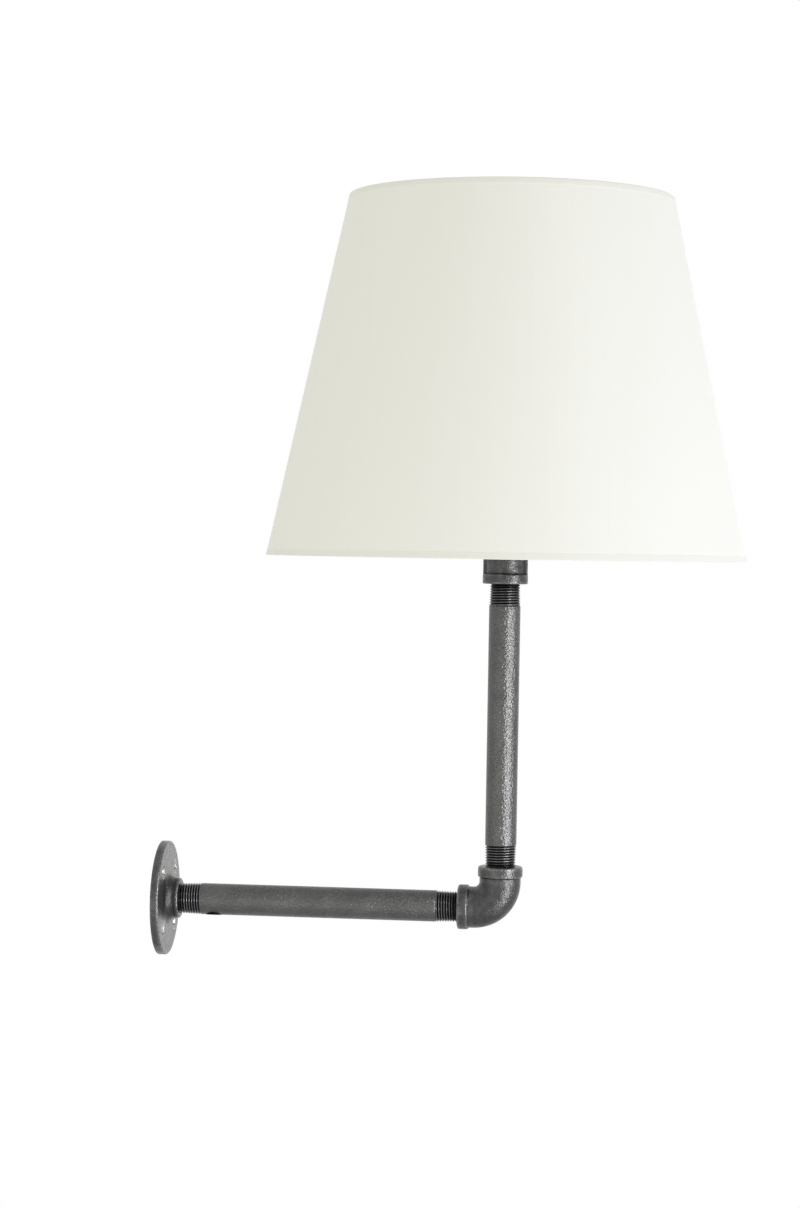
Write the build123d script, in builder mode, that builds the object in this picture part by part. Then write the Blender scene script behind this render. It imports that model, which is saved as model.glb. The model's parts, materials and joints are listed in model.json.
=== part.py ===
"""Wall lamp made of threaded pipe, with a tapered fabric shade on a harp.

Millimetres. The origin is the centre of the flange's back face, +X points out of the wall and +Z up.
"""

import math
import os

from build123d import *

# Pipe and its tapered threads
pipe_od = 21.6
pipe_wall = 2.9
arm_length = 203.2
riser_length = 203.2
thread_pitch = 1.814
thread_turns = 11
thread_depth = 1.1
thread_taper = 1 / 32
thread_engaged = 4.5
thread_clearance = 0.08
cord_hole_diameter = 11.6
cord_hole_from_wall = 38.0
cord_hole_lean = 5.0
cord_bush_bore = 6.4

# Wall flange
flange_od = 79.0
flange_thickness = 5.6
flange_height = 14.0
flange_rim_fillet = 1.2
hub_base_od = 31.0
hub_end_od = 27.6
hub_fillet = 3.0
screw_circle = 56.0
screw_count = 4
screw_hole_diameter = 6.0
screw_sink_diameter = 9.4
screw_start_angle = 45.0
groove_share = 0.8

# Elbow
elbow_reach = 28.8
elbow_bend = 18.0
elbow_body_od = 28.4
elbow_band_od = 30.8
elbow_band_width = 7.0
elbow_passage = 17.2
band_fillet = 1.1

# Coupling
coupling_length = 35.0
coupling_body_od = 26.6
coupling_band_od = 31.2
coupling_band_width = 6.5
coupling_rib_width = 3.0

# Reducing bushing, lamp nipple and lock nut
bushing_flats = 26.0
bushing_head = 7.0
bushing_plug = 12.0
nipple_od = 9.9
nipple_bore = 6.6
nipple_below = 8.0
nipple_in_cap = 5.0
nut_flats = 14.3
nut_thickness = 3.5
slip = 0.08

# Harp and saddle, both lying in the plane across the arm
saddle_thickness = 1.6
saddle_width = 13.0
saddle_margin = 1.2
tab_width = 4.4
tab_height = 12.0
wire_diameter = 3.4
wire_seat_gap = 0.1
harp_foot = 29.0
harp_half_width = 53.0
harp_height = 203.2
harp_leg = 41.0
harp_flare = 26.0
harp_side = 80.0
harp_crown = 16.0
harp_leg_bend = 25.0
harp_flare_bend = 40.0
harp_side_bend = 60.0
harp_crown_bend = 22.0
crown_pad_diameter = 15.0
crown_pad_thickness = 4.6
ferrule_height = 14.0
ferrule_wall = 0.8

# Swivel stud on top of the harp
rivet_diameter = 4.0
rivet_head_diameter = 6.6
rivet_head_thickness = 1.2
rivet_play = 0.2
stud_flange_diameter = 13.0
stud_flange_thickness = 1.6
stud_diameter = 6.2
stud_length = 13.0
turning_clearance = 0.06

# Lamp socket
cap_hub_diameter = 17.0
cap_hub_height = 5.0
cap_floor = 1.0
cap_wall = 0.8
cap_cone = 9.0
cap_skirt = 7.0
cap_bend = 3.0
set_screw_diameter = 2.8
set_screw_stand_out = 1.2
shell_od = 32.2
shell_wall = 0.7
shell_height = 46.0
shell_bead = 1.8
shell_in_cap = 5.5
fibre_wall = 0.7
fibre_gap = 0.1
fibre_short = 2.0
body_height = 18.0
body_gap = 0.2
switch_height = 12.5
shaft_diameter = 3.2
shaft_depth = 11.0
shaft_window = 5.2
shaft_stand_out = 14.5
knob_diameter = 12.6
knob_length = 11.0
knob_flutes = 14
knob_flute_diameter = 1.6
terminal_pocket_depth = 3.4
terminal_pocket_width = 9.0
terminal_head_diameter = 6.0
terminal_head_thickness = 2.2
terminal_height = 6.0
contact_diameter = 8.0
contact_height = 2.2

# Screw thread shared by the socket and the bulb
lamp_thread_od = 26.2
lamp_thread_depth = 0.9
lamp_thread_pitch = 3.6
lamp_thread_turns = 5
lamp_thread_gap = 0.3
lamp_shell_wall = 0.45
lamp_shell_floor = 0.5
lamp_shell_opening = 12.0

# Bulb
bulb_rest = 0.3
bulb_tip_diameter = 9.6
bulb_tip_height = 1.2
bulb_collar_diameter = 17.0
bulb_collar_height = 2.0
bulb_crimp_height = 5.0
bulb_length = 110.0
bulb_diameter = 60.0
bulb_neck_diameter = 25.4
bulb_wall = 1.0
bulb_tangent_angle = 35.0

# Shade
shade_bottom_diameter = 330.0
shade_top_diameter = 223.4
shade_height = 247.4
shade_recess = 18.0
cover_thickness = 0.6
laminate_gap = 0.05
lining_thickness = 0.6
trim_thickness = 0.5
trim_height = 5.0
trim_gap = 0.1
ring_wire = 3.0
spider_arms = 3
spider_start_angle = 90.0
spider_washer_diameter = 28.0
spider_washer_thickness = 1.6
spider_arm_start = 10.5
spider_arm_level = 80.0
spider_arm_bend = 24.0

# Finial
finial_base_diameter = 13.0
finial_base_height = 2.4
finial_neck_diameter = 9.2
finial_neck_height = 5.0
finial_ball_diameter = 15.0
finial_bore_spare = 0.8

# Sizes that follow from the pipe
pipe_radius = pipe_od / 2
pipe_bore_radius = pipe_radius - pipe_wall
thread_length = thread_turns * thread_pitch


def crest_radius(along):
    """Radius of the tapered thread's crest, measured along the pipe from its end."""
    return pipe_radius - thread_taper * (thread_length - along)


socket_radius = crest_radius(thread_engaged) + thread_clearance
arm_start = flange_height - thread_engaged
arm_end = arm_start + arm_length
elbow_mouth = arm_end - thread_engaged
riser_x = elbow_mouth + elbow_reach
riser_start = elbow_reach - thread_engaged
riser_end = riser_start + riser_length
elbow_socket = elbow_reach - elbow_bend

# Heights up the head, each standing on the one before
coupling_bottom = riser_end - thread_engaged
coupling_top = coupling_bottom + coupling_length
bushing_top = coupling_top + bushing_head
saddle_top = bushing_top + saddle_thickness
nut_top = saddle_top + nut_thickness
cap_floor_top = nut_top + cap_hub_height
cap_cone_top = cap_floor_top + cap_cone
cap_top = cap_cone_top + cap_skirt
shell_bottom = cap_top - shell_in_cap
shell_top = shell_bottom + shell_height
body_top = shell_bottom + body_height
switch_z = shell_bottom + switch_height
contact_top = body_top + contact_height
bulb_bottom = contact_top + bulb_rest
bulb_collar_bottom = bulb_bottom + bulb_tip_height
bulb_thread_bottom = bulb_collar_bottom + bulb_collar_height
lamp_thread_length = lamp_thread_turns * lamp_thread_pitch
bulb_thread_top = bulb_thread_bottom + lamp_thread_length
bulb_cap_top = bulb_thread_top + bulb_crimp_height
harp_top = bushing_top + harp_height
stud_seat = harp_top + stud_flange_thickness
washer_top = stud_seat + spider_washer_thickness
shade_top = stud_seat + shade_recess
shade_bottom = shade_top - shade_height

# Radii that fit into one another
nipple_radius = nipple_od / 2
nipple_hole = nipple_radius + slip
wire_radius = wire_diameter / 2
shell_radius = shell_od / 2
cap_radius = shell_radius + slip + cap_wall
fibre_radius = shell_radius - shell_wall - fibre_gap
body_radius = fibre_radius - fibre_wall - body_gap
shaft_radius = shaft_diameter / 2
terminal_floor = body_radius - terminal_pocket_depth
stud_radius = stud_diameter / 2
ring_radius = ring_wire / 2


def along_arm(start):
    """Half-section plane of the arm: local X is the radius, local Y runs out from the wall."""
    return Plane(origin=(start, 0, 0), x_dir=(0, 0, 1), z_dir=(0, 1, 0))


def up_head(start):
    """Half-section plane of the head: local X is the radius, local Y runs up the riser."""
    return Plane(origin=(riser_x, 0, start), x_dir=(1, 0, 0), z_dir=(0, -1, 0))


def level(height):
    """Level plane on the riser's axis."""
    return Plane(origin=(riser_x, 0, height))


arm_axis = Axis((0, 0, 0), (1, 0, 0))
head_axis = Axis((riser_x, 0, 0), (0, 0, 1))


def pipe_outline(length):
    """Half section of a pipe with a tapered thread at each end."""
    near = []
    for turn in range(thread_turns):
        root = turn * thread_pitch
        crest = root + thread_pitch / 2
        near.append((crest_radius(root) - thread_depth, root))
        near.append((crest_radius(crest), crest))
    near.append((pipe_radius, thread_length))
    far = [(radius, length - along) for radius, along in reversed(near)]
    return [(pipe_bore_radius, 0), *near, *far, (pipe_bore_radius, length)]


# Wall flange, threaded through, with countersunk screw holes
with BuildPart() as wall_flange:
    with BuildSketch(along_arm(0)):
        with BuildLine():
            FilletPolyline(
                (socket_radius, 0),
                (flange_od / 2, 0),
                (flange_od / 2, flange_thickness),
                (hub_base_od / 2, flange_thickness),
                (hub_end_od / 2, flange_height),
                (socket_radius, flange_height),
                radius=[0, 0, flange_rim_fillet, hub_fillet, band_fillet, 0],
                close=True,
            )
        make_face()
    revolve(axis=arm_axis)
    with BuildSketch(along_arm(0)):
        for turn in range(int(arm_start / thread_pitch)):
            middle = (turn + 1 / 2) * thread_pitch
            half = groove_share * thread_pitch / 2
            with BuildLine():
                Polyline(
                    (socket_radius, middle - half),
                    (socket_radius + thread_depth, middle),
                    (socket_radius, middle + half),
                    close=True,
                )
            make_face()
    revolve(axis=arm_axis, mode=Mode.SUBTRACT)
    with Locations(Plane(origin=(flange_thickness, 0, 0), x_dir=(0, 1, 0), z_dir=(1, 0, 0))):
        with PolarLocations(screw_circle / 2, screw_count, start_angle=screw_start_angle):
            CounterSinkHole(screw_hole_diameter / 2, screw_sink_diameter / 2)

# Arm pipe, with the cord's hole in its underside, leaning to the front
cord_way = (0, -math.sin(math.radians(cord_hole_lean)), -math.cos(math.radians(cord_hole_lean)))
cord_mouth = Plane(
    origin=(cord_hole_from_wall, pipe_radius * cord_way[1], pipe_radius * cord_way[2]), z_dir=cord_way
)
with BuildPart() as arm_pipe:
    with BuildSketch(along_arm(arm_start)):
        with BuildLine():
            Polyline(*pipe_outline(arm_length), close=True)
        make_face()
    revolve(axis=arm_axis)
    with Locations(cord_mouth):
        Hole(cord_hole_diameter / 2, depth=pipe_radius)

# Bush in the cord's hole, flush with the pipe inside and out
with BuildPart() as cord_bush:
    with BuildSketch(cord_mouth):
        Circle(cord_hole_diameter / 2 - slip)
        Circle(cord_bush_bore / 2, mode=Mode.SUBTRACT)
    extrude(amount=-pipe_radius)
    with BuildSketch(Plane(origin=(cord_hole_from_wall, 0, 0), x_dir=(0, 1, 0), z_dir=(1, 0, 0))):
        Circle(pipe_radius)
        Circle(pipe_bore_radius, mode=Mode.SUBTRACT)
    extrude(amount=cord_hole_diameter, both=True, mode=Mode.INTERSECT)

# Elbow: two banded sockets joined by a bend
bend_axis = Axis((riser_x - elbow_bend, 0, elbow_bend), (0, -1, 0))
bend_start = Plane(origin=(riser_x - elbow_bend, 0, 0), x_dir=(0, 1, 0), z_dir=(1, 0, 0))
arm_mouth = Plane(origin=(elbow_mouth, 0, 0), x_dir=(0, 1, 0), z_dir=(1, 0, 0))
riser_mouth = Plane(origin=(riser_x, 0, elbow_reach), x_dir=(0, 1, 0), z_dir=(0, 0, -1))
riser_mouth_section = Plane(origin=(riser_x, 0, elbow_reach), x_dir=(1, 0, 0), z_dir=(0, 1, 0))
with BuildPart() as elbow:
    with BuildSketch(bend_start):
        Circle(elbow_body_od / 2)
    revolve(axis=bend_axis, revolution_arc=90)
    for section, axis in ((along_arm(elbow_mouth), arm_axis), (riser_mouth_section, head_axis)):
        with BuildSketch(section):
            with BuildLine():
                FilletPolyline(
                    (0, 0),
                    (elbow_band_od / 2, 0),
                    (elbow_band_od / 2, elbow_band_width),
                    (elbow_body_od / 2, elbow_band_width),
                    (elbow_body_od / 2, elbow_socket),
                    (0, elbow_socket),
                    radius=[0, band_fillet, band_fillet / 2, band_fillet / 2, 0, 0],
                    close=True,
                )
            make_face()
        revolve(axis=axis)
    with BuildSketch(bend_start):
        Circle(elbow_passage / 2)
    revolve(axis=bend_axis, revolution_arc=90, mode=Mode.SUBTRACT)
    with BuildSketch(arm_mouth, riser_mouth):
        Circle(socket_radius)
    extrude(amount=elbow_socket, mode=Mode.SUBTRACT)

# Riser pipe
with BuildPart() as riser_pipe:
    with BuildSketch(up_head(riser_start)):
        with BuildLine():
            Polyline(*pipe_outline(riser_length), close=True)
        make_face()
    revolve(axis=head_axis)

# Coupling with a band at each end and two ribs
with BuildPart() as coupling:
    with BuildSketch(up_head(coupling_bottom)):
        with BuildLine():
            FilletPolyline(
                (0, 0),
                (coupling_band_od / 2, 0),
                (coupling_band_od / 2, coupling_band_width),
                (coupling_body_od / 2, coupling_band_width),
                (coupling_body_od / 2, coupling_length - coupling_band_width),
                (coupling_band_od / 2, coupling_length - coupling_band_width),
                (coupling_band_od / 2, coupling_length),
                (0, coupling_length),
                radius=[0] + [band_fillet] * 6 + [0],
                close=True,
            )
        make_face()
    revolve(axis=head_axis)
    with BuildSketch(level(coupling_bottom + coupling_band_width - band_fillet)):
        Rectangle(coupling_band_od - band_fillet, coupling_rib_width)
    extrude(amount=coupling_length - 2 * coupling_band_width + 2 * band_fillet)
    with BuildSketch(level(coupling_bottom)):
        Circle(socket_radius)
    extrude(amount=coupling_length, mode=Mode.SUBTRACT)

# Reducing bushing: hexagon head over a plug
with BuildPart() as reducing_bushing:
    with BuildSketch(level(coupling_top)):
        RegularPolygon(bushing_flats / 2, 6, major_radius=False)
    extrude(amount=bushing_head)
    chamfer(faces().sort_by(Axis.Z)[-1].edges(), band_fillet / 2)
    with BuildSketch(level(coupling_top)):
        Circle(socket_radius - slip)
    extrude(amount=-bushing_plug)
    with BuildSketch(level(bushing_top)):
        Circle(nipple_hole)
    extrude(amount=-bushing_head - bushing_plug, mode=Mode.SUBTRACT)

# Lamp nipple
nipple_bottom = bushing_top - nipple_below
nipple_length = nut_top + nipple_in_cap - nipple_bottom
with BuildPart() as lamp_nipple:
    with BuildSketch(level(nipple_bottom)):
        Circle(nipple_radius)
        Circle(nipple_bore / 2, mode=Mode.SUBTRACT)
    extrude(amount=nipple_length)

# Lock nut
with BuildPart() as lock_nut:
    with BuildSketch(level(saddle_top)):
        RegularPolygon(nut_flats / 2, 6, major_radius=False)
        Circle(nipple_hole, mode=Mode.SUBTRACT)
    extrude(amount=nut_thickness)

# Harp saddle: a strip with an upright tab inside each harp foot
tab_y = harp_foot - wire_radius - wire_seat_gap - saddle_thickness / 2
saddle_length = 2 * (harp_foot + wire_radius + saddle_margin)
with BuildPart() as harp_saddle:
    with BuildSketch(level(bushing_top)):
        RectangleRounded(saddle_width, saddle_length, saddle_width / 3)
        Circle(nipple_hole, mode=Mode.SUBTRACT)
    extrude(amount=saddle_thickness)
    with BuildSketch(level(saddle_top)):
        with Locations((0, tab_y), (0, -tab_y)):
            Rectangle(tab_width, saddle_thickness)
    extrude(amount=tab_height)

# Harp: one bent wire with a drilled pad at its crown
wire_crown = harp_top - crown_pad_thickness / 2
harp_half = [
    (harp_foot, saddle_top),
    (harp_foot, saddle_top + harp_leg),
    (harp_half_width, saddle_top + harp_leg + harp_flare),
    (harp_half_width, saddle_top + harp_leg + harp_flare + harp_side),
    (harp_crown, wire_crown),
]
harp_bends = [harp_leg_bend, harp_flare_bend, harp_side_bend, harp_crown_bend]
harp_plane = Plane(origin=(riser_x, 0, 0), x_dir=(0, 1, 0), z_dir=(1, 0, 0))
with BuildPart() as harp_bow:
    with BuildLine(harp_plane):
        FilletPolyline(
            *harp_half,
            *[(-across, height) for across, height in reversed(harp_half)],
            radius=harp_bends + harp_bends[::-1],
        )
    with BuildSketch(Plane(origin=(riser_x, harp_foot, saddle_top))):
        Circle(wire_radius)
    sweep()
    with BuildSketch(level(harp_top)):
        Circle(crown_pad_diameter / 2)
    extrude(amount=-crown_pad_thickness)
    with BuildSketch(level(harp_top)):
        Circle(rivet_diameter / 2 + turning_clearance)
    extrude(amount=-crown_pad_thickness, mode=Mode.SUBTRACT)

# Ferrules that lock the harp's feet to the saddle's tabs
ferrule_y = harp_foot - (wire_seat_gap + saddle_thickness) / 2
ferrule_bore = math.hypot(tab_width / 2, ferrule_y - tab_y + saddle_thickness / 2) + slip


def ferrule(side):
    """Sleeve round one harp foot, on the side given by the sign."""
    with BuildPart() as sleeve:
        with BuildSketch(Plane(origin=(riser_x, side * ferrule_y, saddle_top))):
            Circle(ferrule_bore + ferrule_wall)
            Circle(ferrule_bore, mode=Mode.SUBTRACT)
        extrude(amount=ferrule_height)
    return sleeve


harp_ferrule_left = ferrule(1)
harp_ferrule_right = ferrule(-1)

# Swivel stud riveted through the harp's pad
rivet_bottom = harp_top - crown_pad_thickness - rivet_play
with BuildPart() as swivel_stud:
    with BuildSketch(up_head(0)):
        with BuildLine():
            Polyline(
                (0, rivet_bottom - rivet_head_thickness),
                (rivet_head_diameter / 2, rivet_bottom - rivet_head_thickness),
                (rivet_head_diameter / 2, rivet_bottom),
                (rivet_diameter / 2, rivet_bottom),
                (rivet_diameter / 2, harp_top),
                (stud_flange_diameter / 2, harp_top),
                (stud_flange_diameter / 2, stud_seat),
                (stud_radius, stud_seat),
                (stud_radius, stud_seat + stud_length),
                (0, stud_seat + stud_length),
                close=True,
            )
        make_face()
    revolve(axis=head_axis)

# Socket cap, with a tapped hub for its set screw
set_screw_z = nut_top + (cap_hub_height - cap_floor) / 2
with BuildPart() as socket_cap:
    with BuildSketch(up_head(0)):
        with BuildLine():
            FilletPolyline(
                (nipple_hole, nut_top),
                (cap_hub_diameter / 2, nut_top),
                (cap_hub_diameter / 2, cap_floor_top),
                (cap_radius, cap_cone_top),
                (cap_radius, cap_top),
                (cap_radius - cap_wall, cap_top),
                (cap_radius - cap_wall, cap_cone_top + cap_wall),
                (cap_hub_diameter / 2, cap_floor_top + cap_floor),
                (nipple_hole, cap_floor_top + cap_floor),
                radius=[0, cap_floor / 2, cap_floor, cap_bend, 0, 0, cap_bend, cap_floor, 0],
                close=True,
            )
        make_face()
    revolve(axis=head_axis)
    with BuildSketch(Plane(origin=(riser_x, 0, set_screw_z), x_dir=(1, 0, 0), z_dir=(0, -1, 0))):
        Circle(set_screw_diameter / 2 + slip)
    extrude(amount=cap_hub_diameter, mode=Mode.SUBTRACT)

# Set screw, bearing on the nipple
set_screw_plane = Plane(
    origin=(riser_x, -nipple_hole, set_screw_z), x_dir=(1, 0, 0), z_dir=(0, -1, 0)
)
with BuildPart() as cap_set_screw:
    with BuildSketch(set_screw_plane):
        Circle(set_screw_diameter / 2)
    extrude(amount=cap_hub_diameter / 2 + set_screw_stand_out - nipple_hole)

# Socket shell with a rolled rim and a window for the switch shaft
switch_plane = Plane(origin=(riser_x, 0, switch_z), x_dir=(0, 1, 0), z_dir=(1, 0, 0))
with BuildPart() as socket_shell:
    with BuildSketch(level(shell_bottom)):
        Circle(shell_radius)
        Circle(shell_radius - shell_wall, mode=Mode.SUBTRACT)
    extrude(amount=shell_height)
    with Locations(level(shell_top - shell_bead / 2)):
        Torus(shell_radius, shell_bead / 2)
    with BuildSketch(level(shell_bottom)):
        Circle(shell_radius - shell_wall)
    extrude(amount=shell_height, mode=Mode.SUBTRACT)
    with BuildSketch(switch_plane):
        Circle(shaft_window / 2)
    extrude(amount=shell_od, mode=Mode.SUBTRACT)

# Fibre liner inside the shell
with BuildPart() as fibre_liner:
    with BuildSketch(level(shell_bottom)):
        Circle(fibre_radius)
        Circle(fibre_radius - fibre_wall, mode=Mode.SUBTRACT)
    extrude(amount=shell_height - fibre_short)
    with BuildSketch(switch_plane):
        Circle(shaft_window / 2)
    extrude(amount=shell_od, mode=Mode.SUBTRACT)

# Switch body, with a pocket for each terminal and a bore for the shaft
with BuildPart() as switch_body:
    with BuildSketch(level(shell_bottom)):
        Circle(body_radius)
    extrude(amount=body_height)
    with BuildSketch(level(shell_bottom)):
        with Locations((0, body_radius), (0, -body_radius)):
            Rectangle(terminal_pocket_width, 2 * terminal_pocket_depth)
    extrude(amount=2 * terminal_height, mode=Mode.SUBTRACT)
    with BuildSketch(switch_plane.offset(body_radius)):
        Circle(shaft_radius + turning_clearance)
    extrude(amount=-shaft_depth, mode=Mode.SUBTRACT)


def terminal_screw(side):
    """Slotted screw head on one terminal, on the side given by the sign."""
    seat = Plane(
        origin=(riser_x, side * terminal_floor, shell_bottom + terminal_height),
        x_dir=(1, 0, 0),
        z_dir=(0, side, 0),
    )
    with BuildPart() as screw:
        with BuildSketch(seat):
            Circle(terminal_head_diameter / 2)
        extrude(amount=terminal_head_thickness)
        with BuildSketch(seat.offset(terminal_head_thickness)):
            Rectangle(terminal_head_diameter, terminal_head_diameter / 6)
        extrude(amount=-terminal_head_thickness / 2, mode=Mode.SUBTRACT)
    return screw


terminal_screw_live = terminal_screw(1)
terminal_screw_neutral = terminal_screw(-1)

# Centre contact
with BuildPart() as centre_contact:
    with BuildSketch(level(body_top)):
        Circle(contact_diameter / 2)
    extrude(amount=contact_height)
    fillet(faces().sort_by(Axis.Z)[-1].edges(), contact_height / 3)

# Switch shaft and its fluted knob
shaft_end = shell_radius + shaft_stand_out
with BuildPart() as switch_shaft:
    with BuildSketch(switch_plane.offset(body_radius - shaft_depth)):
        Circle(shaft_radius)
    extrude(amount=shaft_end - body_radius + shaft_depth)
with BuildPart() as switch_knob:
    with BuildSketch(switch_plane.offset(shaft_end - knob_length + shaft_radius)):
        Circle(knob_diameter / 2)
        with PolarLocations(knob_diameter / 2, knob_flutes):
            Circle(knob_flute_diameter / 2, mode=Mode.SUBTRACT)
    extrude(amount=knob_length)
    with BuildSketch(switch_plane.offset(shaft_end)):
        Circle(shaft_radius)
    extrude(amount=-knob_length, mode=Mode.SUBTRACT)

# Screw thread of the bulb's cap and of the shell it screws into
thread_crest = lamp_thread_od / 2
thread_root = thread_crest - lamp_thread_depth
shell_gap = lamp_thread_gap + lamp_shell_wall
screw_shell_depth = bulb_thread_bottom - body_top
with BuildPart() as screw_shell:
    with BuildSketch(up_head(body_top)):
        with BuildLine():
            Polyline(
                (thread_root + lamp_thread_gap, screw_shell_depth),
                (thread_root + lamp_thread_gap, lamp_shell_floor),
                (lamp_shell_opening / 2, lamp_shell_floor),
                (lamp_shell_opening / 2, 0),
                (thread_root + shell_gap, 0),
                (thread_root + shell_gap, screw_shell_depth),
            )
            for turn in range(lamp_thread_turns):
                start = screw_shell_depth + turn * lamp_thread_pitch
                for gap in (lamp_thread_gap, shell_gap):
                    ThreePointArc(
                        (thread_root + gap, start),
                        (thread_crest + gap, start + lamp_thread_pitch / 2),
                        (thread_root + gap, start + lamp_thread_pitch),
                    )
            Line(
                (thread_root + lamp_thread_gap, screw_shell_depth + lamp_thread_length),
                (thread_root + shell_gap, screw_shell_depth + lamp_thread_length),
            )
        make_face()
    revolve(axis=head_axis)

# Bulb: contact tip, insulating collar, screw cap and glass
with BuildPart() as bulb_tip:
    with BuildSketch(level(bulb_bottom)):
        Circle(bulb_tip_diameter / 2)
    extrude(amount=bulb_tip_height)
    fillet(faces().sort_by(Axis.Z)[0].edges(), bulb_tip_height / 2)
with BuildPart() as bulb_collar:
    with BuildSketch(up_head(bulb_collar_bottom)):
        with BuildLine():
            Polyline(
                (0, 0),
                (bulb_tip_diameter / 2, 0),
                (bulb_collar_diameter / 2, bulb_collar_height),
                (0, bulb_collar_height),
                close=True,
            )
        make_face()
    revolve(axis=head_axis)
with BuildPart() as bulb_cap:
    with BuildSketch(up_head(bulb_thread_bottom)):
        with BuildLine():
            Line((0, 0), (thread_root, 0))
            for turn in range(lamp_thread_turns):
                start = turn * lamp_thread_pitch
                ThreePointArc(
                    (thread_root, start),
                    (thread_crest, start + lamp_thread_pitch / 2),
                    (thread_root, start + lamp_thread_pitch),
                )
            Polyline(
                (thread_root, lamp_thread_length),
                (bulb_neck_diameter / 2, lamp_thread_length + bulb_crimp_height / 2),
                (bulb_neck_diameter / 2, lamp_thread_length + bulb_crimp_height),
                (0, lamp_thread_length + bulb_crimp_height),
                (0, 0),
            )
        make_face()
    revolve(axis=head_axis)

ball_centre = bulb_bottom + bulb_length - bulb_diameter / 2 - bulb_cap_top
tangent = math.radians(bulb_tangent_angle)
with BuildPart() as bulb_glass:
    with BuildSketch(up_head(bulb_cap_top)):
        for wall, mode in ((0, Mode.ADD), (bulb_wall, Mode.SUBTRACT)):
            ball_radius = bulb_diameter / 2 - wall
            neck_radius = bulb_neck_diameter / 2 - wall
            waist = (
                ball_radius * math.cos(tangent),
                ball_centre - ball_radius * math.sin(tangent),
            )
            with BuildLine():
                TangentArc(waist, (neck_radius, 0), tangent=(-math.sin(tangent), -math.cos(tangent)))
                ThreePointArc(waist, (ball_radius, ball_centre), (0, ball_centre + ball_radius))
                Polyline((0, ball_centre + ball_radius), (0, 0), (neck_radius, 0))
            make_face(mode=mode)
    revolve(axis=head_axis)

# Shade: radius of its outer face at a height, less a depth into the wall
shade_slope = (shade_bottom_diameter - shade_top_diameter) / 2 / shade_height
trim_cover = trim_gap + trim_thickness
lining_depth = cover_thickness + laminate_gap
wall_depth = lining_depth + lining_thickness
ring_depth = wall_depth + (ring_radius + trim_gap) * math.hypot(1, shade_slope)


def shade_radius(height, depth):
    """Radius at a height, at a depth inside the fabric's outer face."""
    return shade_bottom_diameter / 2 - trim_cover - shade_slope * (height - shade_bottom) - depth


def shade_band(low, high, near, far):
    """Slanted strip of the shade's half section between two heights and two depths."""
    return [
        (shade_radius(low, near), low),
        (shade_radius(high, near), high),
        (shade_radius(high, far), high),
        (shade_radius(low, far), low),
    ]


wall_bottom = shade_bottom + trim_thickness
wall_top = shade_top - trim_thickness
with BuildPart() as shade_cover:
    with BuildSketch(up_head(0)):
        with BuildLine():
            Polyline(*shade_band(wall_bottom, wall_top, 0, cover_thickness), close=True)
        make_face()
    revolve(axis=head_axis)
with BuildPart() as shade_lining:
    with BuildSketch(up_head(0)):
        with BuildLine():
            Polyline(*shade_band(wall_bottom, wall_top, lining_depth, wall_depth), close=True)
        make_face()
    revolve(axis=head_axis)

# Wire rings at the rims
top_ring_z = wall_top - ring_radius - trim_gap
bottom_ring_z = wall_bottom + ring_radius + trim_gap
top_ring_radius = shade_radius(top_ring_z, ring_depth)
bottom_ring_radius = shade_radius(bottom_ring_z, ring_depth)
with BuildPart() as bottom_ring:
    with Locations(level(bottom_ring_z)):
        Torus(bottom_ring_radius, ring_radius)

# Spider: washer, arms and top ring welded together
spider_z = stud_seat + spider_washer_thickness / 2
with BuildPart() as shade_spider:
    with BuildSketch(level(stud_seat)):
        Circle(spider_washer_diameter / 2)
        Circle(stud_radius + slip, mode=Mode.SUBTRACT)
    extrude(amount=spider_washer_thickness)
    with Locations(level(top_ring_z)):
        Torus(top_ring_radius, ring_radius)
    for number in range(spider_arms):
        turn = math.radians(spider_start_angle + number * 360 / spider_arms)
        outward = (math.cos(turn), math.sin(turn), 0)
        sideways = (math.sin(turn), -math.cos(turn), 0)
        arm_plane = Plane(origin=(riser_x, 0, spider_z), x_dir=outward, z_dir=sideways)
        with BuildLine(arm_plane):
            FilletPolyline(
                (spider_arm_start, 0),
                (spider_arm_level, 0),
                (top_ring_radius, top_ring_z - spider_z),
                radius=spider_arm_bend,
            )
        with BuildSketch(Plane(origin=arm_plane.from_local_coords((spider_arm_start, 0)), z_dir=outward)):
            Circle(ring_radius)
        sweep()

# Fabric trims folded over the rims
lip_depth = ring_depth + ring_radius + trim_gap
with BuildPart() as top_trim:
    with BuildSketch(up_head(0)):
        with BuildLine():
            Polyline(*shade_band(shade_top - trim_height, shade_top, -trim_cover, -trim_gap), close=True)
        make_face()
        with BuildLine():
            Polyline(*shade_band(wall_top, shade_top, -trim_cover, lip_depth), close=True)
        make_face()
    revolve(axis=head_axis)
with BuildPart() as bottom_trim:
    with BuildSketch(up_head(0)):
        with BuildLine():
            Polyline(
                *shade_band(shade_bottom, shade_bottom + trim_height, -trim_cover, -trim_gap), close=True
            )
        make_face()
        with BuildLine():
            Polyline(*shade_band(shade_bottom, wall_bottom, -trim_cover, lip_depth), close=True)
        make_face()
        with BuildLine():
            Polyline(
                *shade_band(
                    shade_bottom, shade_bottom + trim_height, lip_depth, lip_depth + trim_thickness
                ),
                close=True,
            )
        make_face()
    revolve(axis=head_axis)

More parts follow.
